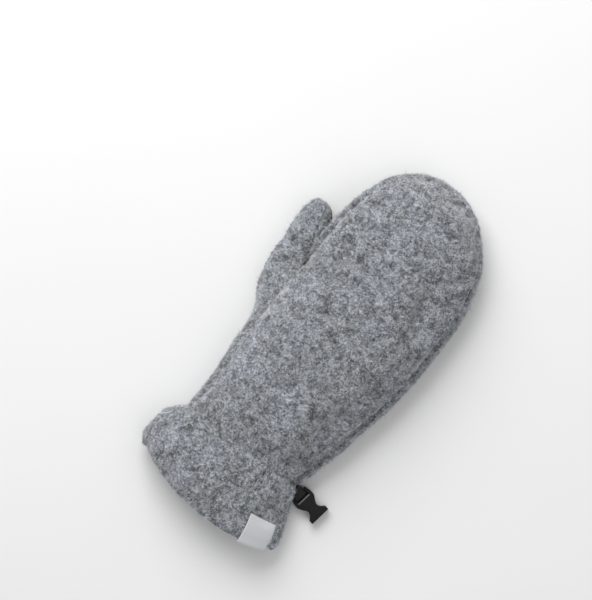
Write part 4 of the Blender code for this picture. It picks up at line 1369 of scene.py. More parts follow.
@dataclass(frozen=True)
class FibreFinish:
    """Loose fibres of the fleece's nap."""

    name: str
    shade: Colour

    def material(self) -> Material:
        """The fibres' material."""
        made, nodes, shader = new_material(self.name)
        tone = nodes.ramp(nodes.noise(nodes.place(), 520.0, 2.0), (0.3, 0.7), (0.7, 1.25))
        colour = nodes.blend(1.0, self.shade, tone, "MULTIPLY")
        nodes.give(shader, {"Base Color": colour, "Roughness": 0.8, "Sheen Weight": 0.5})
        return made


class Grain(Enum):
    """The leathers' grains: pebbles in a metre, creases in a metre, and the relief in metres."""

    PEBBLED = (620.0, 120.0, 0.00030)
    FINE = (1250.0, 190.0, 0.00014)
    SMOOTH = (1700.0, 150.0, 0.00008)


@dataclass(frozen=True)
class LeatherFinish:
    """Black leather with its grain. Glossy and matt are its least and its most roughness."""

    name: str
    grain: Grain
    base: Colour
    worn: Colour
    glossy: float
    matt: float

    def material(self) -> Material:
        """The leather's material."""
        made, nodes, shader = new_material(self.name)
        pebbles, creases, relief = self.grain.value
        grain = grain_effect().place(nodes, Pebbles=pebbles, Creases=creases)
        colour = nodes.blend(grain.outputs["Wear"], self.base, self.worn)
        smudge = nodes.noise(nodes.place(), 70.0, 4.0, 0.6)
        gloss = nodes.ramp(smudge, (0.35, self.matt), (0.65, self.glossy))
        nodes.give(shader, {"Base Color": colour, "Roughness": gloss, "Specular IOR Level": 0.45})
        bump(nodes, shader, grain.outputs["Height"], relief, 0.85)
        return made


@dataclass(frozen=True)
class WovenFinish:
    """Woven ribs: webbing or a label, darker in the grooves between the ribs as painted shade."""

    name: str
    # low: the colour in the grooves, darkened as painted shade; high: the colour on the ribs' tops
    low: Colour
    high: Colour
    turn: float
    ribs: float
    threads: float
    relief: float
    roughness: float

    def material(self) -> Material:
        """The weave's material."""
        made, nodes, shader = new_material(self.name)
        weave = rib_effect().place(nodes, Turn=self.turn, Ribs=self.ribs, Threads=self.threads)
        # The grooves take the low colour: painted shade
        colour = nodes.blend(weave.outputs["Shade"], self.low, self.high)
        nodes.give(shader, {"Base Color": colour, "Roughness": self.roughness, "Sheen Weight": 0.15})
        bump(nodes, shader, weave.outputs["Height"], self.relief, 0.9)
        return made


@dataclass(frozen=True)
class PlasticFinish:
    """Moulded plastic with a fine spark-eroded grain."""

    name: str
    base: Colour
    # the scuffs' colour; on the lip's finish, the brighter part of its painted highlight
    scuffed_and_highlit: Colour

    def material(self) -> Material:
        """The plastic's material."""
        made, nodes, shader = new_material(self.name)
        place = nodes.place()
        scuffs = nodes.ramp(nodes.noise(place, 300.0, 5.0, 0.7, 1.5), (0.55, 0.0), (0.8, 1.0))
        colour = nodes.blend(scuffs, self.base, self.scuffed_and_highlit)
        sheen = nodes.ramp(nodes.noise(place, 180.0, 3.0), (0.3, 0.34), (0.7, 0.48))
        nodes.give(shader, {"Base Color": colour, "Roughness": sheen, "Specular IOR Level": 0.32})
        bump(nodes, shader, nodes.noise(place, 5200.0, 2.0), 0.00003, 0.5)
        return made


@dataclass(frozen=True)
class ThreadFinish:
    """Twisted sewing thread."""

    name: str
    shade: Colour

    def material(self) -> Material:
        """The thread's material."""
        made, nodes, shader = new_material(self.name)
        twist = nodes.noise(nodes.place(), 3500.0, 2.0)
        colour = nodes.blend(1.0, self.shade, nodes.ramp(twist, (0.3, 0.7), (0.7, 1.2)), "MULTIPLY")
        nodes.give(shader, {"Base Color": colour, "Roughness": 0.55})
        bump(nodes, shader, twist, 0.0001)
        return made


@dataclass
class Relief:
    """The relief of a panel's outer side, in metres."""

    roll_depth: float
    roll_width: float
    nub_depth: float = 0.0
    nub_size: float = 0.0023
    lump: float = 0.0
    lump_size: float = 0.0045
    pucker: float = 0.0
    pucker_size: float = 0.0042
    pucker_reach: float = 0.006
    wrinkle: float = 0.0
    wrinkle_size: float = 0.009
    wrinkle_slope: float = 3.0
    fold: float = 0.0
    fold_size: float = 0.030
    gather: float = 0.0
    gather_pitch: float = 0.0042
    gather_from: float = -0.088
    gather_reach: float = 0.028
    gather_drift_size: float = 0.012

    def heights(self, points: Array, seam_away: Array, pull: Array) -> Array:
        """How far each point moves out along its normal.

        Args:
            points: the panel's points.
            seam_away: how far each one is from the nearest seam or hem.
            pull: how much the seams draw each one in.

        Returns:
            One height for each point, less than 0 for inwards.
        """
        height = -self.roll_depth * pull * np.clip(1 - seam_away / self.roll_width, 0, 1) ** 2
        if self.nub_depth:
            height -= self.nub_depth * nubs_at(points, self.nub_size) ** 1.5
        if self.lump:
            height += self.lump * noise_at(points, self.lump_size, Layer.LUMP)
        if self.pucker:
            near = np.exp(-((seam_away / self.pucker_reach) ** 2)) * pull
            height += self.pucker * near * noise_at(points, self.pucker_size, Layer.PUCKER)
        if self.wrinkle:
            waves = noise_at(points, self.wrinkle_size, Layer.WRINKLE)
            ridged = 1 - np.abs(waves) * self.wrinkle_slope
            height -= self.wrinkle * np.clip(ridged, 0, 1) ** 2
        if self.fold:
            height += self.fold * noise_at(points, self.fold_size, Layer.FOLD)
        if self.gather:
            fade = np.clip(1 - (points[:, 1] - self.gather_from) / self.gather_reach, 0, 1)
            drift = noise_at(points, self.gather_drift_size, Layer.GATHER)
            turn = points[:, 0] / self.gather_pitch + drift
            height -= self.gather * fade * (0.5 + 0.5 * np.cos(2 * math.pi * turn))
        return height


@dataclass
class SewnPanel:
    """One panel of cloth or leather, made from its part of the skin.

    Its outer points, their normals, its cells and its grooves are there once it is built.
    """

    panel: Panel
    relief: Relief
    slot: str
    cloth: Cloth
    held: str = "laid"
    seam_gap: float = 0.00008
    inner_gap_share: float = 0.2
    groove_reach: float = 0.0030
    floor_gap: float = 0.0001

    def build(self, skin: MittenSkin, depths: Array, material: Material) -> Piece:
        """Makes the panel, rides it and lets it stand for its node.

        Args:
            skin: the sewn skin.
            depths: the cloth's thickness at each point of the skin.
            material: its finish.

        Returns:
            The panel's object.
        """
        quads = np.array([quad for quad, tag in zip(skin.quads, skin.tags) if tag is self.panel])
        corners = np.unique(quads)
        place = np.full(len(skin.points), -1)
        place[corners] = np.arange(len(corners))
        quads = place[quads]
        points = skin.points[corners]
        normals = skin.normals[corners]
        inset = self.inset(points, normals, quads)
        pull = skin.seam_pull()[corners]
        seam_away = skin.seam_away[corners]
        height = self.relief.heights(points, seam_away, pull)
        outer = points + inset + normals * height[:, None]
        inner = points + inset * self.inner_gap_share - normals * depths[corners, None]
        self.groove = pull * np.clip(1 - seam_away / self.groove_reach, 0, 1)
        outer[:, 2] = np.maximum(outer[:, 2], np.minimum(points[:, 2], self.floor_gap))
        self.outer = outer
        self.normals = normals
        self.quads = quads
        obj = mesh_object(self.panel.value + "_cloth", *slab(outer, inner, quads))
        return add_piece(obj, self.slot, self.panel.value, [material])

    def inset(self, points: Array, normals: Array, quads: Array) -> Array:
        """How far each point at the panel's edge moves back from the seam.

        Args:
            points: the panel's points.
            normals: their normals.
            quads: the panel's cells.

        Returns:
            One move for each point.
        """
        starts, ends = rim(quads)
        runs = unit(points[ends] - points[starts])
        moves = np.zeros_like(points)
        for marks in (starts, ends):
            np.add.at(moves, marks, np.cross(normals[marks], runs))
        return unit(moves) * (np.linalg.norm(moves, axis=1, keepdims=True) > 0) * self.seam_gap / 2

    def declare(self, obj: Piece, nap: Sequence[Piece]) -> None:
        """Does nothing with the panel or its nap.

        Args:
            obj: the panel's object; not used.
            nap: the pieces on it; not used.
        """


@dataclass
class Nap:
    """Loose fibres that lie and stand on a fleece panel, each a ribbon of two cells."""

    per_area: float = 1850000.0
    most: int = 49000
    shortest: float = 0.0010
    longest: float = 0.0034
    width: float = 0.00013
    middle_share: float = 0.9
    tip_share: float = 0.25
    root_depth: float = 0.0002
    bend: float = 0.5
    lift: float = 0.00065
    arch: float = 0.7
    arch_lift: float = 0.00012
    stray_share: float = 0.11
    stray_lift: float = 0.0012
    seam_trim: float = 0.85
    floor_gap: float = 0.00005
    clump: float = 0.0021
    blotch: float = 0.006
    blotch_share: float = 0.5
    mixed: float = 0.10
    dark_level: float = -0.08

    def build(self, panel: SewnPanel, keep: Keep, seed: int, finish: Sequence) -> Piece:
        """Grows the fibres.

        Args:
            panel: the panel they grow on.
            keep: says which roots stay, such as those that aren't under the label.
            seed: where the random numbers start.
            finish: the light and the dark fibres' materials.

        Returns:
            The fibres, as one object.
        """
        random = np.random.default_rng(seed)
        corners = panel.outer[panel.quads]
        diagonals = np.cross(corners[:, 2] - corners[:, 0], corners[:, 3] - corners[:, 1])
        size = np.linalg.norm(diagonals, axis=1) / 2
        count = min(int(size.sum() * self.per_area), self.most)
        cells = random.choice(len(size), count, p=size / size.sum())
        u, v = random.random((2, count, 1))
        quad = panel.quads[cells]
        roots = self.within(panel.outer[quad], u, v)
        normals = unit(self.within(panel.normals[quad], u, v))
        groove = self.within(panel.groove[quad][..., None], u, v)
        kept = keep(roots)
        roots = roots[kept]
        vertices = self.ribbons(random, roots, normals[kept], groove[kept])
        start = np.arange(len(roots))[:, None] * 6
        faces = np.stack([start + [0, 1, 2, 3], start + [3, 2, 5, 4]], axis=1).reshape(-1, 4)
        obj = mesh_object(panel.panel.value + "_nap", vertices, faces.tolist())
        tone = noise_at(roots, self.clump, Layer.CLUMP)
        tone = tone + self.blotch_share * noise_at(roots, self.blotch, Layer.BLOTCH)
        dark = tone + random.normal(0, self.mixed, len(roots)) < self.dark_level
        obj.data.polygons.foreach_set("material_index", np.repeat(dark, 2).astype(np.int32))
        return add_piece(obj, panel.slot, finish=finish)

    def ribbons(
        self, random: np.random.Generator, roots: Array, normals: Array, groove: Array
    ) -> Array:
        """The fibres' shapes.

        Args:
            random: where the random numbers come from.
            roots: a point for each fibre.
            normals: the panel's normal there.
            groove: how near a drawn-in seam each fibre is, which makes it shorter.

        Returns:
            Six corners for each fibre: two at the root, two in the middle and two at the tip.
        """
        count = len(roots)
        across = unit(np.cross(normals, random.normal(size=(count, 3))))
        side = np.cross(normals, across)
        bend = side * random.normal(0, self.bend, (count, 1))
        length = random.uniform(self.shortest, self.longest, (count, 1)) * (1 - self.seam_trim * groove)
        stray = random.random((count, 1)) < self.stray_share
        lift = np.abs(random.normal(0, np.where(stray, self.stray_lift, self.lift), (count, 1)))
        middle = roots + across * length * 0.5 + normals * (lift * self.arch + self.arch_lift)
        tip = roots + unit(across + bend) * length + normals * lift
        first = roots - normals * self.root_depth
        half = side * self.width / 2
        rows = [first - half, first + half]
        rows += [middle + half * self.middle_share, middle - half * self.middle_share]
        rows += [tip - half * self.tip_share, tip + half * self.tip_share]
        vertices = np.stack(rows, axis=1).reshape(-1, 3)
        vertices[:, 2] = np.maximum(vertices[:, 2], self.floor_gap)
        return vertices

    def within(self, corners: Array, u: Array, v: Array) -> Array:
        """Values inside cells, from the values at their four corners.

        Args:
            corners: the values at each cell's corners.
            u: the share one way.
            v: the share the other way.

        Returns:
            A value for each cell.
        """
        near = mix(corners[:, 0], corners[:, 1], u)
        far = mix(corners[:, 3], corners[:, 2], u)
        return mix(near, far, v)


@dataclass
class FleeceShell:
    """The fleece panels and their nap."""

    finish: FleeceFinish
    # strip_finish: the heather fleece retoned as painted light and shade for the gap between thumb and hand
    strip_finish: FleeceFinish
    light_fibre: FibreFinish
    dark_fibre: FibreFinish
    nap: Nap = field(default_factory=Nap)

    def panels(self) -> list[SewnPanel]:
        """The fleece panels, each with its relief and its flat cut."""
        body = Relief(0.0023, 0.0042, 0.0010, 0.0025, 0.00045, pucker=0.0013, fold=0.0010)
        thumb = Relief(0.0018, 0.0028, 0.0009, 0.0025, 0.0004, pucker=0.0007, fold=0.0005)
        strip = Relief(0.0015, 0.0024, 0.0006, 0.0020, 0.0003, pucker=0.0004)
        return [
            SewnPanel(Panel.BACK, body, "fleece", Cloth(0.125, 0.245, 0.0246)),
            SewnPanel(Panel.BAND, body, "fleece", Cloth(0.024, 0.430, 0.0098)),
            SewnPanel(Panel.CUFF, body, "fleece", Cloth(0.053, 0.260, 0.0122), "gathered"),
            SewnPanel(Panel.THUMB, thumb, "fleece", Cloth(0.060, 0.175, 0.0068)),
            SewnPanel(Panel.STRIP, strip, "strip_fleece", Cloth(0.0105, 0.062, 0.00045)),
        ]

    def build(self, skin: MittenSkin, depths: Array, keep: Keep) -> None:
        """Makes the panels, and grows the nap on each.

        Args:
            skin: the sewn skin.
            depths: the cloth's thickness at each point of the skin.
            keep: says which fibres stay.
        """
        cloth = self.finish.material()
        strip_cloth = self.strip_finish.material()
        fibres = [self.light_fibre.material(), self.dark_fibre.material()]
        for seed, panel in enumerate(self.panels()):
            piece = panel.build(skin, depths, strip_cloth if panel.panel is Panel.STRIP else cloth)
            panel.declare(piece, [self.nap.build(panel, keep, seed, fibres)])


@dataclass
class LeatherPalm:
    """The leather panels of the palm, the fingertips and the thumb's grip."""

    palm_finish: LeatherFinish
    fingertip_finish: LeatherFinish
    grip_finish: LeatherFinish

    def panels(self) -> list[SewnPanel]:
        """The leather panels, each with its relief and its flat cut."""
        palm = Relief(0.0006, 0.0016, wrinkle=0.00022, wrinkle_size=0.011, pucker=0.0002)
        tips = Relief(0.0007, 0.0018, wrinkle=0.00035, wrinkle_size=0.009, pucker=0.0003)
        grip = Relief(0.0006, 0.0016, wrinkle=0.00025, wrinkle_size=0.010, pucker=0.0003, gather=0.0007)
        return [
            SewnPanel(Panel.PALM, palm, "palm_leather", Cloth(0.075, 0.178, 0.0109)),
            SewnPanel(Panel.FINGERTIP, tips, "fingertip_leather", Cloth(0.078, 0.042, 0.0024)),
            SewnPanel(Panel.GRIP, grip, "thumb_leather", Cloth(0.034, 0.175, 0.0038)),
        ]

    def build(self, skin: MittenSkin, depths: Array, thread: ThreadFinish) -> None:
        """Makes the panels, and sews the stitches on the palm.

        Args:
            skin: the sewn skin.
            depths: the leather's thickness at each point of the skin.
            thread: the stitches' finish.
        """
        finishes = [self.palm_finish, self.fingertip_finish, self.grip_finish]
        for panel, finish in zip(self.panels(), finishes):
            piece = panel.build(skin, depths, finish.material())
            rows = [PalmStitches(thread).build(panel)] if panel.panel is Panel.PALM else []
            panel.declare(piece, rows)


def tube(path: Array, normals: Array, radii: Array, sides: int) -> tuple[Array, list]:
    """A round tube along a path, closed at both ends.

    Args:
        path: the middle of each ring.
        normals: a direction away from the surface at each ring.
        radii: the radius at each ring.
        sides: how many sides the tube has.

    Returns:
        The points and the faces.
    """
    runs = unit(np.gradient(path, axis=0))
    side = unit(np.cross(runs, normals))
    up = np.cross(side, runs)
    angles = np.linspace(0, 2 * math.pi, sides, endpoint=False)
    around = np.cos(angles)[None, :, None] * side[:, None] + np.sin(angles)[None, :, None] * up[:, None]
    vertices = (path[:, None] + around * radii[:, None, None]).reshape(-1, 3)
    faces = grid_quads(len(path), sides, closed=True)
    faces.append(list(range(sides))[::-1])
    faces.append([len(vertices) - sides + step for step in range(sides)])
    return vertices, faces


@dataclass
class CordedSeam:
    """The leather-covered cord in the palm's seam."""

    finish: LeatherFinish
    radius: float = 0.0010
    clearance: float = 0.0004
    pinch: float = 0.00012
    pinch_pitch: float = 0.0026
    end_taper: float = 0.0015
    end_share: float = 0.35
    rings: int = 240
    sides: int = 16

    def build(self, skin: MittenSkin) -> Piece:
        """Makes the cord along the ridge of the palm.

        Args:
            skin: the sewn skin.

        Returns:
            The cord's object.
        """
        line = skin.ridge_line
        normals = skin.normals[line]
        path = skin.points[line] + normals * (self.radius + self.clearance)
        along = distances(path)
        fine = np.linspace(0, along[-1], self.rings)
        path = read_at(fine, along, path)
        normals = unit(read_at(fine, along, normals))
        pinch = np.cos(2 * math.pi * fine / self.pinch_pitch) * 0.5 + 0.5
        to_end = np.minimum(fine, along[-1] - fine)
        ends = np.clip(to_end / self.end_taper, self.end_share, 1) ** 0.5
        radii = (self.radius - self.pinch * pinch**3) * ends
        obj = mesh_object("palm_cord", *tube(path, normals, radii, self.sides))
        log.info("%s: %.0f mm long", obj.name, along[-1] / MM)
        return add_piece(obj, "cord_leather", "welt", [self.finish.material()])


@dataclass
class StitchRow:
    """A row of stitches of thick thread on a surface. Arch, sink and swell are shares of the radius."""

    finish: ThreadFinish
    length: float
    gap: float
    radius: float
    arch: float = 1.5
    sink: float = 0.6
    swell: float = 2.2
    end_share: float = 0.35
    rings: int = 7
    sides: int = 8

    def build(self, name: str, path: Array, normals: Array, slot: str) -> Piece:
        """Sews the row.

        Args:
            name: the row's name.
            path: points along the row, on the surface.
            normals: the surface's normals there.
            slot: the record's material slot.

        Returns:
            The stitches, as one object.
        """
        along = distances(path)
        arch = np.sin(np.linspace(0, math.pi, self.rings))[:, None]
        radii = self.radius * np.clip(arch[:, 0] * self.swell, self.end_share, 1)
        vertices: list[Array] = []
        faces: Quads = []
        start = self.gap
        while start + self.length < along[-1]:
            at = np.linspace(start, start + self.length, self.rings)
            normal = unit(read_at(at, along, normals))
            lift = arch * self.radius * self.arch - self.radius * self.sink
            made, made_faces = tube(read_at(at, along, path) + normal * lift, normal, radii, self.sides)
            shift = sum(len(part) for part in vertices)
            vertices.append(made)
            faces += [[corner + shift for corner in face] for face in made_faces]
            start += self.length + self.gap
        obj = mesh_object(name, np.concatenate(vertices), faces)
        return add_piece(obj, slot, finish=[self.finish.material()])


@dataclass
class PalmStitches:
    """The slanting row of stitches across the palm, on a curve between three places."""

    thread: ThreadFinish
    start: tuple[float, float] = (-0.030, 0.049)
    bend: tuple[float, float] = (-0.006, 0.0545)
    end: tuple[float, float] = (0.018, 0.0565)
    length: float = 0.0028
    gap: float = 0.0016
    radius: float = 0.00024
    steps: int = 60
    looked_from: float = -0.05

    def build(self, palm: SewnPanel) -> Piece:
        """Sews the row on the palm's outer side.

        Args:
            palm: the palm's leather panel, already built.

        Returns:
            The stitches, as one object.
        """
        tree = BVHTree.FromPolygons(palm.outer.tolist(), palm.quads.tolist())
        start, bend, end = (np.array(place) for place in (self.start, self.bend, self.end))
        path = []
        normals = []
        for part in np.linspace(0, 1, self.steps):
            place = mix(mix(start, bend, part), mix(bend, end, part), part)
            below = Vector((place[0], place[1], self.looked_from))
            hit, normal, _, _ = tree.ray_cast(below, Vector((0, 0, 1)))
            path.append(np.array(hit))
            normals.append(np.array(normal))
        row = StitchRow(self.thread, self.length, self.gap, self.radius)
        return row.build("palm_stitches", np.array(path), np.array(normals), "palm_leather")


class LabelRow(NamedTuple):
    """A row across the label: its middle points, where each one faces, and how far along it is."""

    middle: Array
    facing: Array
    run: float


@dataclass
class WovenLabel:
    """The bare woven label, folded over the hem.

    Its outer points and where they face are there once it is built.
    """

    finish: WovenFinish
    thread: ThreadFinish
    width: float = 0.0188
    length: float = 0.0197
    tuck: float = 0.0110
    thickness: float = 0.0007
    centre: float = 0.0425
    clearance: float = 0.0003
    across_cells: int = 34
    outer_rows: int = 30
    turn_rows: int = 8
    turn_step: float = 0.0007
    tucked_rows: int = 12
    rib_pitch: float = 0.00075
    rib: float = 0.00005
    thin_from: float = 0.86
    thinned: float = 0.45
    curl: float = 0.0004
    curl_from: float = 0.75
    sewn_column: int = 2
    sewn_rows: int = 28
    stitch_length: float = 0.0016
    stitch_gap: float = 0.0008
    stitch_radius: float = 0.00012

    def build(self, skin: MittenSkin) -> Piece:
        """Folds the label round the hem.

        Args:
            skin: the sewn skin.

        Returns:
            The label.
        """
        rows = self.rows(skin)
        outer, inner = self.sides(rows)
        quads = np.array(grid_quads(len(rows), self.across_cells))[:, ::-1]
        self.outer = outer
        self.facing = np.array([row.facing for row in rows])
        obj = mesh_object("hem_label", *slab(outer.reshape(-1, 3), inner.reshape(-1, 3), quads))
        return add_piece(obj, "woven_label", "label", [self.finish.material()])

    def rows(self, skin: MittenSkin) -> list[LabelRow]:
        """The label's rows, from its loose end over the cuff, round the hem and up inside.

        Args:
            skin: the sewn skin.

        Returns:
            The rows in turn.
        """
        net = skin.cuff_net[:, : skin.back_cells + 1]
        points = skin.points[net]
        normals = skin.normals[net]
        across = self.columns(points[0, :, 0] - self.net_shift(skin))
        lengths = distances(points[:, round((across[0] + across[-1]) / 2)])
        away = self.clearance + self.thickness / 2
        found = []
        for run in np.linspace(self.length, 0.0, self.outer_rows):
            row = np.interp(run, lengths, np.arange(len(lengths)))
            normal = unit(self.read(normals, row, across))
            found.append(LabelRow(self.read(points, row, across) + normal * away, normal, run))
        hem = self.read(points, 0, across)
        normal = unit(self.read(normals, 0, across))
        beyond = hem - self.read(points, 1, across)
        beyond = unit(beyond - normal * np.sum(beyond * normal, axis=1, keepdims=True))
        for step in range(1, self.turn_rows):
            angle = math.pi * step / self.turn_rows
            facing = normal * math.cos(angle) + beyond * math.sin(angle)
            middle = hem - normal * FLEECE_WALL / 2 + facing * (FLEECE_WALL / 2 + away)
            found.append(LabelRow(middle, facing, -step * self.turn_step))
        for tucked in np.linspace(0.0, self.tuck, self.tucked_rows):
            row = np.interp(tucked, lengths, np.arange(len(lengths)))
            normal = unit(self.read(normals, row, across))
            middle = self.read(points, row, across) - normal * (FLEECE_WALL + away)
            found.append(LabelRow(middle, -normal, -self.turn_rows * self.turn_step - tucked))
        return found

    def columns(self, hem_x: Array) -> Array:
        """The net's columns, with fractions, that the label lies on.

        Args:
            hem_x: each column's X at the hem.

        Returns:
            The columns.
        """
        sides = [self.centre - self.width / 2, self.centre + self.width / 2]
        left, right = np.interp(sides, hem_x, np.arange(len(hem_x)))
        return np.linspace(left, right, self.across_cells)

    def net_shift(self, skin: MittenSkin) -> float:
        """How far the skin was moved along X when it was seated."""
        return skin.points[:, 0].min() + skin.thumb_root * HAND + skin.thumb_reach

    def read(self, grid: Array, row: float, across: Array) -> Array:
        """Values between the points of a grid, on the straight lines that join them.

        Args:
            grid: the values, by row and column.
            row: the row's number, with a fraction.
            across: the columns' numbers, with fractions.

        Returns:
            The value at each of the columns.
        """
        near = min(int(row), len(grid) - 2)
        left = np.minimum(across.astype(int), len(grid[0]) - 2)
        part = (across - left)[:, None]
        start = mix(grid[near, left], grid[near, left + 1], part)
        end = mix(grid[near + 1, left], grid[near + 1, left + 1], part)
        return mix(start, end, row - near)

    def sides(self, rows: list[LabelRow]) -> tuple[Array, Array]:
        """The label's outer and inner points: ribbed, thin at its sides, curled at its loose corners.

        Args:
            rows: the label's rows.

        Returns:
            The outer points and the inner ones.
        """
        middle = np.array([row.middle for row in rows])
        facing = np.array([row.facing for row in rows])
        runs = np.array([row.run for row in rows])[:, None, None]
        part = np.linspace(-1, 1, self.across_cells)[None, :, None]
        rib = np.cos(2 * math.pi * runs / self.rib_pitch) * self.rib
        edge = np.clip((np.abs(part) - self.thin_from) / (1 - self.thin_from), 0, 1)
        half = self.thickness / 2 * (1 - self.thinned * edge)
        loose = np.clip(runs / self.length - self.curl_from, 0, 1) / (1 - self.curl_from)
        curl = self.curl * loose * part**2
        return middle + facing * (half + rib + curl), middle - facing * (half - curl)

    def sew_down(self) -> list[Piece]:
        """Sews the label along both its sides."""
        row = StitchRow(self.thread, self.stitch_length, self.stitch_gap, self.stitch_radius)
        pieces = []
        for column in (self.sewn_column, self.across_cells - 1 - self.sewn_column):
            path = self.outer[: self.sewn_rows, column]
            facing = self.facing[: self.sewn_rows, column]
            pieces.append(row.build(f"label_stitches_{column}", path, facing, "woven_label"))
        return pieces


@dataclass
class BuckleSocket:
    """The side-release socket at the wrist, and the webbing that holds it."""

    plastic: PlasticFinish
    # edge: the lip's finish, a painted highlight
    edge: PlasticFinish
    webbing: WovenFinish
    slope: float = 0.0026
    webbing_width: float = 0.0100
    webbing_thickness: float = 0.0011
    webbing_clearance: float = 0.0004
    length: float = 0.0228
    width: float = 0.0153
    height: float = 0.0068
    wall: float = 0.0012
    floor_gap: float = 0.0003
    mouth_depth: float = 0.0138
    turn: float = math.radians(-9.4)
    bar_start: float = 0.0008
    bar_length: float = 0.0026
    bar_height: float = 0.0020
    bar_bevel: float = 0.0005
    lip_length: float = 0.0009
    lip_depth: float = 0.0008
    lip_rise: float = 0.00025
    bevel: float = 0.0006
    small_bevel: float = 0.00022
    sharp: float = math.radians(38)
    past: float = 0.001
    strap_sink: float = 0.0004
    strap_rib: float = 0.00007
    strap_rib_pitch: float = 0.00125
    strap_weft: float = 0.00004
    strap_weft_turn: float = 2.4
    selvedge: float = 0.0004
    selvedge_sink: float = 0.0003

    def frame_at(self) -> Matrix:
        """From the buckle's own frame to the row's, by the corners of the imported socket's mouth."""
        turn = Matrix.Rotation(self.turn, 4, "Z")
        low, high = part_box("buckle_socket")
        far = turn @ Vector((self.length, self.width / 2, 0))
        near = turn @ Vector((self.length, -self.width / 2, 0))
        return Matrix.Translation((high.x - far.x, low.y - near.y, low.z)) @ turn

    def outline(self, start: float, end: float, inset: float, steps: int = 56) -> list[tuple]:
        """The waisted outline between two distances from the strap, with smooth arcs.

        Args:
            start: the first distance.
            end: the last distance.
            inset: how far inside the outline it runs.
            steps: how many points each side has.

        Returns:
            The corners in turn.
        """
        rows = [np.array(waist) for waist in BUCKLE_OUTLINE]
        table = np.array([through(rows, place) for place in np.linspace(0, len(rows) - 1, 240)])
        along = np.maximum.accumulate(table[:, 0]) * self.length
        half = np.clip(table[:, 1], 0, 1) * self.width / 2 - inset
        stops = np.linspace(start, end, steps)
        right = [(float(x), -float(np.interp(x, along, half))) for x in stops]
        return right + [(x, -y) for x, y in reversed(right)]

    def prism(self, name: str, corners: Sequence[tuple], low: float, high: float) -> Piece:
        """A solid with this outline, corner by corner, between two heights.

        Args:
            name: its name.
            corners: the outline's corners in turn.
            low: its foot.
            high: its top.

        Returns:
            The solid.
        """
        count = len(corners)
        vertices = [(x, y, low) for x, y in corners] + [(x, y, high) for x, y in corners]
        sides = [[i, (i + 1) % count, count + (i + 1) % count, count + i] for i in range(count)]
        faces = [list(range(count))[::-1], list(range(count, 2 * count))] + sides
        return mesh_object(name, np.array(vertices), faces, smooth=False)

    def cut(self, body: Piece, other: Piece, operation: str) -> None:
        """Combines the body with another solid, which is used up.

        Args:
            body: the solid that is kept.
            other: the solid that is cut out or added.
            operation: DIFFERENCE to cut it out, UNION to add it.
        """
        modifier = body.modifiers.new(other.name, "BOOLEAN")
        modifier.operation = operation
        modifier.solver = "EXACT"
        modifier.object = other
        apply_modifiers(body)
        bpy.data.objects.remove(other)

    def rectangle(self, start: float, end: float, half: float) -> list[tuple]:
        """The corners of a rectangle along the buckle."""
        return [(start, -half), (end, -half), (end, half), (start, half)]

    def build_socket(self) -> Piece:
        """Makes the socket: a waisted case with a mouth, a strap slot and moulded ridges."""
        body = self.prism("wrist_socket", self.outline(0.0, self.length, 0.0), 0.0, self.height)
        self.round_edges(body, self.bevel, 4)
        slot_end = self.hollow_out(body)
        self.round_edges(body, self.small_bevel, 2)
        body.data.transform(self.frame_at())
        body.data.polygons.foreach_set("use_smooth", [True] * len(body.data.polygons))
        body.data.set_sharp_from_angle(angle=self.sharp)
        # The second finish is the lip's painted highlight
        finish = [self.plastic.material(), self.edge.material()]
        add_piece(body, "buckle_plastic", "buckle_socket", finish)
        self.mark_lip(body, slot_end)
        return body

    def hollow_out(self, body: Piece) -> float:
        """Cuts the strap slot and the mouth, and adds the crossbar and the lip behind the slot.

        Args:
            body: the case, in the buckle's frame.

        Returns:
            Where the slot ends.
        """
        half = self.webbing_width / 2 + self.webbing_clearance
        slot_end = self.bar_start + self.bar_length + self.webbing_thickness + 3 * self.webbing_clearance
        slot = self.rectangle(-self.past, slot_end, half)
        self.cut(body, self.prism("slot", slot, -self.past, self.height + self.past), "DIFFERENCE")
        corners = self.outline(self.length - self.mouth_depth, self.length, self.wall)
        mouth = [(x + self.past if x > self.length - 1e-6 else x, y) for x, y in corners]
        self.cut(body, self.prism("mouth", mouth, self.wall, self.height - self.wall), "DIFFERENCE")
        _, bar_z = self.bar_middle()
        across = self.rectangle(self.bar_start, self.bar_start + self.bar_length, half + self.wall / 2)
        bar = self.prism("bar", across, bar_z - self.bar_height / 2, bar_z + self.bar_height / 2)
        self.round_edges(bar, self.bar_bevel, 3)
        self.cut(body, bar, "UNION")
        ridge = self.rectangle(slot_end, slot_end + self.lip_length, half)
        lip = self.prism("lip", ridge, self.height - self.lip_depth, self.height + self.lip_rise)
        self.cut(body, lip, "UNION")
        return slot_end

    def mark_lip(self, body: Piece, slot_end: float) -> None:
        """Gives the lip behind the strap slot its lighter finish, a painted highlight.

        Args:
            body: the socket, in the row's frame.
            slot_end: where the slot ends in the buckle's frame.
        """
        back = self.frame_at().inverted()
        low = (slot_end - 0.0002, -self.webbing_width / 2 - 0.0003, self.height - 0.0004)
        high = (slot_end + 0.0007, self.webbing_width / 2 + 0.0003, self.height + self.past)
        for polygon in body.data.polygons:
            middle = back @ polygon.center
            if all(start < value < end for start, value, end in zip(low, middle, high)):
                polygon.material_index = 1

    def round_edges(self, obj: Piece, radius: float, segments: int) -> None:
        """Rounds an object's sharp edges.

        Args:
            obj: the object.
            radius: the rounding's radius.
            segments: how fine it is.
        """
        modifier = obj.modifiers.new("rounding", "BEVEL")
        modifier.width = radius
        modifier.segments = segments
        modifier.limit_method = "ANGLE"
        modifier.angle_limit = math.radians(50)
        apply_modifiers(obj)

    def bar_middle(self) -> tuple[float, float]:
        """The crossbar's middle in the buckle's frame: along, and height."""
        thick = self.bar_height + 2 * (self.webbing_thickness + self.webbing_clearance)
        return self.bar_start + self.bar_length / 2, thick / 2

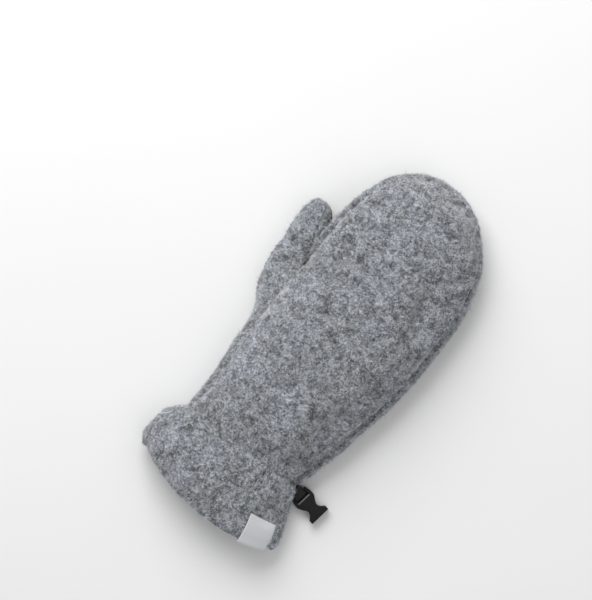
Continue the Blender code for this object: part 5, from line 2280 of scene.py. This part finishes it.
    def strap_profile(self) -> list[list[tuple]]:
        """The strap's outer and inner face, from its top end round the bar to its bottom end."""
        bar_x, bar_z = self.bar_middle()
        half = self.bar_height / 2 + self.webbing_clearance
        reach = self.bar_length / 2 + 2 * self.webbing_clearance - half
        turns = np.radians(np.linspace(90, -90, 19))
        before = self.bar_start - self.webbing_clearance
        profiles = []
        for radius in (half + self.webbing_thickness, half):
            bend = [(bar_x + reach + radius * math.cos(t), bar_z + radius * math.sin(t)) for t in turns]
            profiles.append([(before, bar_z + radius)] + bend + [(before, bar_z - radius)])
        return profiles

    def build_strap(self, skin: MittenSkin) -> Piece:
        """Makes the webbing: two layers from the wrist's side, joined in a turn round the bar.

        Args:
            skin: the sewn skin that it comes out of.

        Returns:
            The strap's object.
        """
        tree = BVHTree.FromPolygons(skin.points.tolist(), skin.quads)
        place = self.frame_at()
        back = place.to_3x3() @ Vector((-1, 0, 0))
        widths = np.linspace(-self.webbing_width / 2, self.webbing_width / 2, 41)
        sides = []
        for profile in self.strap_profile():
            rows = []
            for end in (profile[0], profile[-1]):
                row = []
                for y in widths:
                    start = place @ Vector((end[0], y, end[1] + self.slope))
                    hit = tree.ray_cast(start, back)[0]
                    row.append(hit - back * self.strap_sink)
                rows.append(row)
            turned = [[place @ Vector((x, y, z)) for y in widths] for x, z in profile]
            sides.append(self.drawn_out(rows[0], turned, rows[1]))
        outer, inner = (np.array(side) for side in sides)
        away = unit(outer - inner)
        count = len(outer)
        rib = self.strap_rib * np.cos(2 * math.pi * widths / self.strap_rib_pitch)[None, :, None]
        weft = self.strap_weft * np.cos(np.arange(count) * self.strap_weft_turn)[:, None, None]
        outer = outer + away * (rib + weft)
        selvedge = (np.abs(widths) > self.webbing_width / 2 - self.selvedge)[None, :, None]
        outer = outer - away * selvedge * self.selvedge_sink
        quads = np.array(grid_quads(count, len(widths)))[:, ::-1]
        obj = mesh_object("wrist_webbing", *slab(outer.reshape(-1, 3), inner.reshape(-1, 3), quads))
        return add_piece(obj, "webbing", "strap_loop", [self.webbing.material()])

    def drawn_out(self, first: list, middle: list, last: list) -> list:
        """The rows of one face of the strap in turn, with more of them on its two straight ends.

        Args:
            first: the row at the top end.
            middle: the rows round the bar.
            last: the row at the bottom end.

        Returns:
            The rows.
        """
        steps = np.linspace(0, 1, 14)[1:-1]
        start = [[a.lerp(b, step) for a, b in zip(first, middle[0])] for step in steps]
        end = [[a.lerp(b, step) for a, b in zip(middle[-1], last)] for step in steps]
        return [first] + start + middle + end + [last]


class SoftLight(NamedTuple):
    """A square light that faces the mitten: where it hangs, its side in metres, and its power."""

    name: str
    place: tuple[float, float, float]
    size: float
    watts: float


LIGHTS = (
    SoftLight("key_light", (-1.02, 0.72, 1.00), 1.3, 24.0),
    SoftLight("fill_light", (1.0, -0.1, 1.3), 1.3, 3.0),
)


@dataclass
class PhotoStudio:
    """A pale floor, soft light and the camera straight above."""

    centre: tuple[float, float] = (-0.0355, 0.01535)
    height: float = 2.4
    mid_height: float = 0.015
    seen_width: float = 0.420
    sensor: float = 36.0
    turn: float = math.radians(36.87)
    floor_size: float = 6.0
    floor_gap: float = 0.0002
    sky: float = 0.43

    def build(self) -> None:
        """Makes the floor, the lights and the camera."""
        self.build_floor()
        self.build_lights()
        self.build_camera()

    def build_floor(self) -> None:
        """Makes the floor that the mitten lies on."""
        half = self.floor_size / 2
        corners = np.array([[-half, -half, 0], [half, -half, 0], [half, half, 0], [-half, half, 0]])
        corners[:, 2] = CAD_BOX[0].z - self.floor_gap
        floor = mesh_object("studio_floor", corners, [[0, 1, 2, 3]])
        made, nodes, shader = new_material("studio_paper")
        tone = nodes.ramp(nodes.noise(nodes.place(), 4.0, 2.0), (0.3, 0.90), (0.7, 0.92))
        nodes.give(shader, {"Base Color": tone, "Roughness": 0.9, "Specular IOR Level": 0.1})
        floor.data.materials.append(made)

    def build_lights(self) -> None:
        """Makes two large soft lights and a pale sky."""
        world = bpy.data.worlds.new("studio_sky")
        bpy.context.scene.world = world
        world.use_nodes = True
        background = world.node_tree.nodes["Background"]
        background.inputs["Color"].default_value = (1.0, 1.0, 1.0, 1)
        background.inputs["Strength"].default_value = self.sky
        for given in LIGHTS:
            light = bpy.data.lights.new(given.name, "AREA")
            light.size = given.size
            light.energy = given.watts
            obj = bpy.data.objects.new(given.name, light)
            obj.location = given.place
            obj.rotation_mode = "QUATERNION"
            obj.rotation_quaternion = (-Vector(given.place)).to_track_quat("-Z", "Y")
            bpy.context.scene.collection.objects.link(obj)

    def build_camera(self) -> None:
        """Makes the camera, at the photo's angle and with its frame."""
        camera = bpy.data.cameras.new("photo_camera")
        camera.sensor_width = self.sensor
        camera.lens = self.sensor * (self.height - self.mid_height) / self.seen_width
        camera.clip_end = 20.0
        obj = bpy.data.objects.new("photo_camera", camera)
        obj.location = (*self.centre, self.height)
        obj.rotation_euler = (0, 0, self.turn)
        bpy.context.scene.collection.objects.link(obj)
        bpy.context.scene.camera = obj
        bpy.context.scene.view_settings.view_transform = "Standard"


@dataclass
class WallDepth:
    """How thick the cloth is at each point of the skin."""

    seam_reach: float = 0.004
    crotch: float = 0.0010
    crotch_reach: float = 0.0260

    def at(self, skin: MittenSkin) -> Array:
        """Works out the thickness at each point of the skin. It is that of leather at a seam.

        Args:
            skin: the sewn skin.

        Returns:
            One thickness for each point.
        """
        depths = np.full(len(skin.points), FLEECE_WALL)
        leather = {Panel.PALM, Panel.FINGERTIP, Panel.GRIP}
        marks = np.array([quad for quad, tag in zip(skin.quads, skin.tags) if tag in leather])
        depths[np.unique(marks)] = LEATHER_WALL
        near = np.clip(skin.seam_away / self.seam_reach, 0, 1)
        depths = np.minimum(depths, mix(LEATHER_WALL, FLEECE_WALL, near))
        return mix(self.crotch, depths, ease(skin.away_from(skin.crotch) / self.crotch_reach))


def clear_of(low: Array, high: Array, gap: float = 0.001) -> Keep:
    """A rule that keeps fibres out of the box between two corners, and a small gap round it."""
    return lambda roots: ~((roots > low - gap) & (roots < high + gap)).all(axis=1)


def main() -> None:
    """Builds the mitten piece by piece, then the studio round it."""
    skin = MittenSkin()
    skin.sew()
    depths = WallDepth().at(skin)
    # The label's darker grey lies in the weave's grooves, as painted shade
    pale_grey = (0.50, 0.51, 0.53), (0.84, 0.85, 0.88)
    label = WovenLabel(
        WovenFinish("label_weave", *pale_grey, 0.0, 3600.0, 4200.0, 0.00006, 0.75),
        ThreadFinish("label_thread", (0.62, 0.63, 0.66)),
    )
    label_piece = label.build(skin)
    fleece = FleeceShell(
        FleeceFinish("heather_fleece", (0.66, 0.682, 0.72), (0.205, 0.218, 0.240), (0.020, 0.024, 0.031)),
        # The strip's fleece is the heather fleece retoned for the shaded gap between thumb and hand: its
        # middle and dark greys are raised as painted light, its lightest grey lowered as painted shade
        FleeceFinish("strip_fleece", (0.54, 0.57, 0.56), (0.235, 0.248, 0.243), (0.040, 0.045, 0.045), 520.0),
        FibreFinish("light_fibres", (0.70, 0.725, 0.77)),
        FibreFinish("dark_fibres", (0.042, 0.047, 0.057)),
    )
    keep = clear_of(label.outer.min(axis=(0, 1)), label.outer.max(axis=(0, 1)))
    fleece.build(skin, depths, keep)
    black = (0.017, 0.014, 0.013), (0.040, 0.034, 0.031)
    charcoal = (0.020, 0.020, 0.022), (0.055, 0.055, 0.060)
    smooth_black = (0.014, 0.013, 0.014), (0.030, 0.028, 0.029)
    leather = LeatherPalm(
        LeatherFinish("palm_leather_black", Grain.FINE, *black, 0.5, 0.66),
        LeatherFinish("fingertip_leather_charcoal", Grain.PEBBLED, *charcoal, 0.36, 0.5),
        LeatherFinish("grip_leather_black", Grain.SMOOTH, *smooth_black, 0.38, 0.52),
    )
    leather.build(skin, depths, ThreadFinish("black_thread", (0.060, 0.057, 0.056)))
    CordedSeam(leather.grip_finish).build(skin)
    stitches = label.sew_down()
    # The webbing's darker black lies in the weave's grooves, as painted shade
    black_webbing = (0.003, 0.003, 0.0035), (0.018, 0.018, 0.020)
    buckle = BuckleSocket(
        PlasticFinish("socket_plastic", (0.0035, 0.0035, 0.004), (0.014, 0.014, 0.015)),
        # The lip's finish: a painted highlight in lighter grey, with scuffs
        PlasticFinish("socket_lip_painted_highlight", (0.20, 0.20, 0.205), (0.34, 0.34, 0.345)),
        WovenFinish("webbing_weave", *black_webbing, 0.0, 2600.0, 5200.0, 0.00012, 0.7),
    )
    buckle.build_socket()
    buckle.build_strap(skin)
    PhotoStudio().build()


if __name__ == "__main__":
    main()
